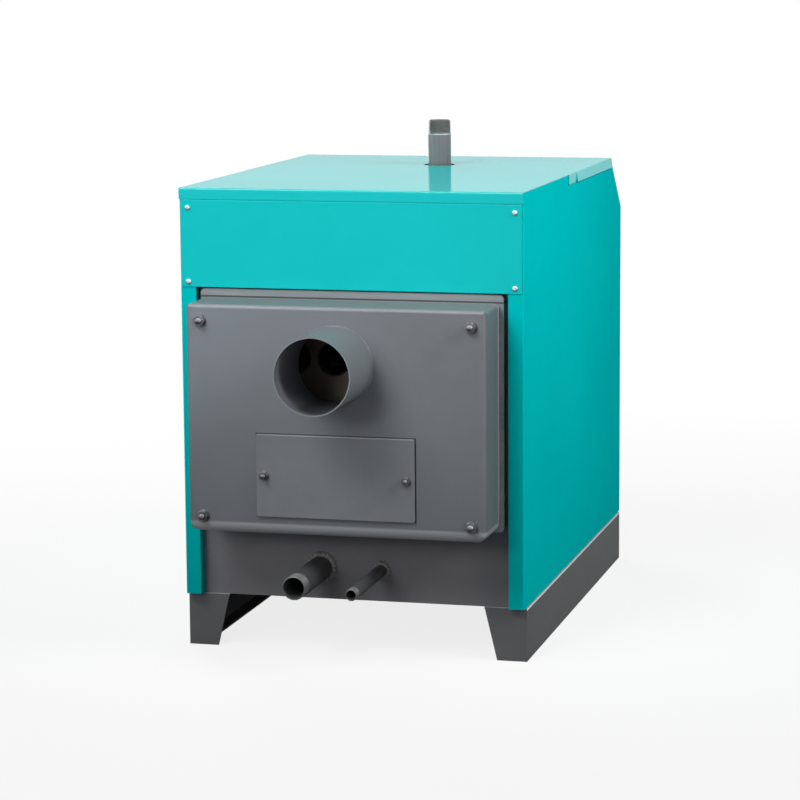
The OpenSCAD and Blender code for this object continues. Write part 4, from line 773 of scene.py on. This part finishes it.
# Casing screws: four at the rear, four on the front panel, four on the fascia,
# each turned a little differently
REAR_SCREW_X, REAR_SCREW_HIGH_Z, REAR_SCREW_LOW_Z = 0.285, 0.766, 0.640
FRONT_SCREW_X, FRONT_SCREW_LOW_Z, FRONT_SCREW_HIGH_Z = 0.291, 0.128, 0.664
FASCIA_SCREW_Y = 0.033
screw_list = []
for sx in (-1, 1):
    screw_list.append((at(sx * REAR_SCREW_X, -SHEET, REAR_SCREW_HIGH_Z), REAR, 0.5 + sx))
    screw_list.append((at(sx * REAR_SCREW_X, -SHEET, REAR_SCREW_LOW_Z), REAR, 1.2 - sx * 0.4))
    screw_list.append((at(sx * FRONT_SCREW_X, CASING_D, FRONT_SCREW_LOW_Z), FRONT, 0.3 + sx))
    screw_list.append((at(sx * FRONT_SCREW_X, CASING_D, FRONT_SCREW_HIGH_Z), FRONT, 0.9 * sx))
    for sy in (-1, 1):
        screw_list.append((FASCIA @ Vector((sx * FRONT_SCREW_X, sy * FASCIA_SCREW_Y, 0.0)),
                           FASCIA_OUT, 0.7 * sx + sy))
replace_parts(screws_piece("casing_screws_cut", screw_list, SCREW_STEEL, "boiler"),
            "casing_screws")


# Flat marks, such as a scale's ticks, as thin raised bars and arcs in one mesh.
# A bar is (x, y, length, width, angle), an arc (x, y, inner and outer radius,
# start and end angle), and all lie on the level and are as thick as one print.
def marks_piece(name, bars, arcs, level, thick, look, body):
    arc_step = 0.12
    verts, faces = [], []

    def prism(corners):
        offset, n = len(verts), len(corners)
        for z in (level, level + thick):
            for x, y in corners:
                verts.append(FASCIA @ Vector((x, y, z)))
        faces.append(tuple(offset + n + i for i in range(n)))
        faces.append(tuple(offset + i for i in reversed(range(n))))
        for i in range(n):
            j = (i + 1) % n
            faces.append((offset + i, offset + j, offset + n + j, offset + n + i))

    for cx, cy, length, width, angle in bars:
        c, s = math.cos(angle), math.sin(angle)
        half_l, half_w = length / 2, width / 2
        prism([(cx + c * u - s * v, cy + s * u + c * v) for u, v in
               ((-half_l, -half_w), (half_l, -half_w), (half_l, half_w), (-half_l, half_w))])
    for cx, cy, inner, outer, start, end in arcs:
        steps = max(3, int(abs(end - start) / arc_step))
        for i in range(steps):
            a = start + (end - start) * i / steps
            b = start + (end - start) * (i + 1) / steps
            prism([(cx + inner * math.cos(a), cy + inner * math.sin(a)),
                   (cx + outer * math.cos(a), cy + outer * math.sin(a)),
                   (cx + outer * math.cos(b), cy + outer * math.sin(b)),
                   (cx + inner * math.cos(b), cy + inner * math.sin(b))])
    return finish_mesh(name, verts, faces, look, body, smooth=False)


def number_piece(name, words, x, y, z, size, look, body):
    half_thick = 0.00004
    curve = bpy.data.curves.new(name, "FONT")
    curve.body = words
    curve.size = size
    curve.align_x = "CENTER"
    curve.align_y = "CENTER"
    curve.extrude = half_thick
    piece = bpy.data.objects.new(name, curve)
    piece.matrix_world = FASCIA @ Matrix.Translation((x, y, z))
    curve.materials.append(look)
    bpy.context.scene.collection.objects.link(piece)
    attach(piece, body)
    return piece


# Angle of a value on a scale that starts at an angle and sweeps clockwise
def on_scale(start, sweep, step, steps):
    return start - sweep * step / steps


# Dial of the thermometer: a pale disc with a hole for the pointer's pin, a tick
# every 5 degrees from 0 to 120, a figure every 20 and a red arc from 90
PLATE_T = 0.002
GAUGE_X, DIAL_R, DIAL_HOLE_R, DIAL_Z = 0.095, 0.0247, 0.0011, 0.0024
POINTER_START, POINTER_SWEEP = math.radians(210.0), math.radians(240.0)
POINTER_END = POINTER_START - POINTER_SWEEP
DIAL_SIDES = 96
INK_T = 0.0001
dial_verts, dial_faces = [], []
for level, ring_r in ((PLATE_T, DIAL_R), (DIAL_Z, DIAL_R), (DIAL_Z, DIAL_HOLE_R),
                      (PLATE_T, DIAL_HOLE_R)):
    for i in range(DIAL_SIDES):
        angle = FULL_TURN * i / DIAL_SIDES
        dial_verts.append(FASCIA @ Vector((GAUGE_X + ring_r * math.cos(angle),
                                           ring_r * math.sin(angle), level)))
for ring in range(3):
    for i in range(DIAL_SIDES):
        j = (i + 1) % DIAL_SIDES
        a, b = ring * DIAL_SIDES, (ring + 1) * DIAL_SIDES
        dial_faces.append((a + i, a + j, b + j, b + i))
finish_mesh("thermometer_dial", dial_verts, dial_faces, DIAL_WHITE, "boiler", smooth=False)

TICKS, TICKS_PER_FIGURE, RED_FROM_TICK = 24, 4, 18
TICK_OUTER_R, FIGURE_R, FIGURE_SIZE = 0.0228, 0.0153, 0.0042
# Length and width of a tick, inner and outer radius of an arc
LONG_TICK, SHORT_TICK = (0.0036, 0.0006), (0.0020, 0.00035)
RIM_ARC, RED_ARC = (0.0230, 0.0234), (0.0185, 0.0191)
tick_bars = []
for step in range(TICKS + 1):
    angle = on_scale(POINTER_START, POINTER_SWEEP, step, TICKS)
    length, width = LONG_TICK if step % TICKS_PER_FIGURE == 0 else SHORT_TICK
    mid_r = TICK_OUTER_R - length / 2
    tick_bars.append((GAUGE_X + mid_r * math.cos(angle), mid_r * math.sin(angle), length,
                      width, angle))
marks_piece("thermometer_ticks", tick_bars,
            [(GAUGE_X, 0.0, *RIM_ARC, POINTER_END, POINTER_START)],
            DIAL_Z, INK_T, INK, "boiler")
marks_piece("thermometer_red_zone", [],
            [(GAUGE_X, 0.0, *RED_ARC, POINTER_END,
              on_scale(POINTER_START, POINTER_SWEEP, RED_FROM_TICK, TICKS))],
            DIAL_Z, INK_T, RED, "boiler")
FIGURES = TICKS // TICKS_PER_FIGURE
for step in range(FIGURES + 1):
    angle = on_scale(POINTER_START, POINTER_SWEEP, step, FIGURES)
    number_piece("dial_number_%d" % (20 * step), str(20 * step),
                 GAUGE_X + FIGURE_R * math.cos(angle), FIGURE_R * math.sin(angle),
                 DIAL_Z + INK_T / 2, FIGURE_SIZE, INK, "boiler")

# Scale of the thermostat knob, printed on the plate round it, with a figure at
# every third tick
PRINT_T = 0.00012
KNOB_START, KNOB_SWEEP = math.radians(225.0), math.radians(270.0)
KNOB_TICKS, KNOB_FIGURES = 18, 6
KNOB_TICK_R, KNOB_TICK_W, KNOB_FIGURE_R, KNOB_FIGURE_SIZE = 0.0245, 0.0006, 0.0322, 0.0045
knob_bars = []
for step in range(KNOB_TICKS + 1):
    angle = on_scale(KNOB_START, KNOB_SWEEP, step, KNOB_TICKS)
    length = 0.0035 if step % (KNOB_TICKS // KNOB_FIGURES) == 0 else 0.002
    mid_r = KNOB_TICK_R + length / 2
    knob_bars.append((mid_r * math.cos(angle), mid_r * math.sin(angle), length, KNOB_TICK_W,
                      angle))
marks_piece("thermostat_scale", knob_bars, [], PLATE_T, PRINT_T, PRINT_WHITE, "boiler")
for step in range(KNOB_FIGURES + 1):
    angle = on_scale(KNOB_START, KNOB_SWEEP, step, KNOB_FIGURES)
    number_piece("thermostat_number_%d" % (30 + 10 * step), str(30 + 10 * step),
                 KNOB_FIGURE_R * math.cos(angle), KNOB_FIGURE_R * math.sin(angle),
                 PLATE_T + PRINT_T / 2, KNOB_FIGURE_SIZE, PRINT_WHITE, "boiler")
# White line in the knob's slot: (x, y, length, width, angle), its level and thickness
KNOB_LINE = (0.0, 0.0110, 0.0108, 0.0017, math.pi / 2)
KNOB_LINE_Z, KNOB_LINE_T = 0.0192, 0.0007
marks_piece("knob_line", [KNOB_LINE], [], KNOB_LINE_Z, KNOB_LINE_T, PRINT_WHITE,
            "thermostat_knob")
# A stroke above and a ring below each switch
SWITCHES_X, STROKE_Y, RING_Y = (-0.200, -0.155), 0.0225, -0.0228
marks_piece("plate_marks", [(x, STROKE_Y, 0.0005, 0.0048, 0.0) for x in SWITCHES_X],
            [(x, RING_Y, 0.0019, 0.0024, 0.0, FULL_TURN) for x in SWITCHES_X],
            PLATE_T, PRINT_T, PRINT_WHITE, "boiler")


# Camera: the photograph's own place, aim, tilt and long lens

CAM_PLACE = Vector((-1.3099, 5.0882, 1.2095))
CAM_AIM = Vector((-0.0860, 0.3745, 0.4464))
CAM_ROLL = math.radians(-0.415)
CAM_LENS = 131.43

cam_data = bpy.data.cameras.new("camera")
cam_data.lens = CAM_LENS
cam_data.sensor_width = 36.0
cam_data.clip_end = 60.0
camera = bpy.data.objects.new("camera", cam_data)
turn = (CAM_AIM - CAM_PLACE).to_track_quat("-Z", "Y").to_matrix().to_4x4()
camera.matrix_world = (Matrix.Translation(CAM_PLACE) @ turn
                       @ Matrix.Rotation(CAM_ROLL, 4, "Z"))
bpy.context.scene.collection.objects.link(camera)
bpy.context.scene.camera = camera


# Studio: a pale floor, a white surround that only rays see, and soft lamps

def area_lamp(name, place_at, aim, size, power, spread=180.0):
    data = bpy.data.lights.new(name, "AREA")
    data.shape = "RECTANGLE"
    data.size, data.size_y = size
    data.energy = power
    data.spread = math.radians(spread)
    lamp = bpy.data.objects.new(name, data)
    lamp.location = place_at
    lamp.rotation_euler = (Vector(aim) - Vector(place_at)).to_track_quat("-Z", "Y").to_euler()
    bpy.context.scene.collection.objects.link(lamp)
    return lamp


area_lamp("key", (0.85, 1.85, 2.45), aim=(0.12, 0.4, 1.0), size=(2.2, 1.2), power=7.0,
          spread=46.0)
# The low lamp behind would stand as a white patch in the glossy top
rear_fill = area_lamp("rear_fill", (1.0, 3.4, 1.5), aim=(0.30, 0.4, 0.88), size=(1.6, 1.0),
                      power=3.2, spread=40.0)
rear_fill.visible_glossy = False
area_lamp("fill", (-2.4, 0.7, 2.1), aim=(-0.25, 0.15, 1.02), size=(1.6, 1.2), power=13.8,
          spread=70.0)
area_lamp("front_fill", (2.2, -2.6, 1.8), aim=(0.1, -0.4, 0.5), size=(1.6, 1.6), power=60.0)

AMBIENT = 0.18
world = bpy.data.worlds.new("studio")
bpy.context.scene.world = world
world.use_nodes = True
world.node_tree.nodes.clear()
world_out = add(world, "ShaderNodeOutputWorld")
ambient = add(world, "ShaderNodeBackground")
ambient.inputs["Color"].default_value = (1.0, 1.0, 1.0, 1.0)
ambient.inputs["Strength"].default_value = AMBIENT
seen = add(world, "ShaderNodeBackground")
seen.inputs["Color"].default_value = (1.0, 1.0, 1.0, 1.0)
seen.inputs["Strength"].default_value = 1.0
rays = add(world, "ShaderNodeLightPath").outputs
mix = add(world, "ShaderNodeMixShader")
camera_or_glossy = math_node(world, "MAXIMUM", rays["Is Camera Ray"], rays["Is Glossy Ray"])
link(world, math_node(world, "MAXIMUM", camera_or_glossy, rays["Is Transmission Ray"]),
     mix.inputs["Fac"])
link(world, ambient.outputs[0], mix.inputs[1])
link(world, seen.outputs[0], mix.inputs[2])
link(world, mix.outputs[0], world_out.inputs["Surface"])


# The floor is near white to the camera, fading to pure white away from the
# object, and a plain grey, darker in reflections, for every other ray
def floor_material():
    fade_start, fade_end, least_white = 0.9, 2.4, 0.82
    bounce_tone, glossy_tone = 0.31, 0.08
    mat = new_material("studio_floor")
    out = add(mat, "ShaderNodeOutputMaterial")
    rays = add(mat, "ShaderNodeLightPath")
    vector = place(mat)
    tone = noise_tex(mat, vector, 1.3, 3.0)
    shaded = add(mat, "ShaderNodeBsdfDiffuse")
    link(mat, ramp(mat, tone, [(0.2, (0.88, 0.88, 0.88, 1)), (0.8, (0.91, 0.91, 0.91, 1))]),
         shaded.inputs["Color"])
    white = add(mat, "ShaderNodeEmission")
    white.inputs["Strength"].default_value = 1.0
    distance = add(mat, "ShaderNodeVectorMath", operation="LENGTH")
    link(mat, vector, distance.inputs[0])
    fade = add(mat, "ShaderNodeMapRange")
    for socket, value in (("From Min", fade_start), ("From Max", fade_end),
                          ("To Min", least_white), ("To Max", 1.0)):
        fade.inputs[socket].default_value = value
    link(mat, distance.outputs["Value"], fade.inputs["Value"])
    seen_floor = add(mat, "ShaderNodeMixShader")
    link(mat, fade.outputs["Result"], seen_floor.inputs["Fac"])
    link(mat, shaded.outputs[0], seen_floor.inputs[1])
    link(mat, white.outputs[0], seen_floor.inputs[2])
    bounce = add(mat, "ShaderNodeBsdfDiffuse")
    link(mat, to_range(mat, rays.outputs["Is Glossy Ray"], bounce_tone, glossy_tone),
         bounce.inputs["Color"])
    blend = add(mat, "ShaderNodeMixShader")
    link(mat, rays.outputs["Is Camera Ray"], blend.inputs["Fac"])
    link(mat, bounce.outputs[0], blend.inputs[1])
    link(mat, seen_floor.outputs[0], blend.inputs[2])
    link(mat, blend.outputs[0], out.inputs["Surface"])
    return mat


FLOOR_HALF = 9.0
floor_mesh = bpy.data.meshes.new("floor")
floor_mesh.from_pydata([(-FLOOR_HALF, -FLOOR_HALF, 0), (FLOOR_HALF, -FLOOR_HALF, 0),
                        (FLOOR_HALF, FLOOR_HALF, 0), (-FLOOR_HALF, FLOOR_HALF, 0)],
                       [], [(0, 1, 2, 3)])
floor = bpy.data.objects.new("floor", floor_mesh)
floor.data.materials.append(floor_material())
bpy.context.scene.collection.objects.link(floor)

bpy.context.scene.view_settings.view_transform = "Standard"
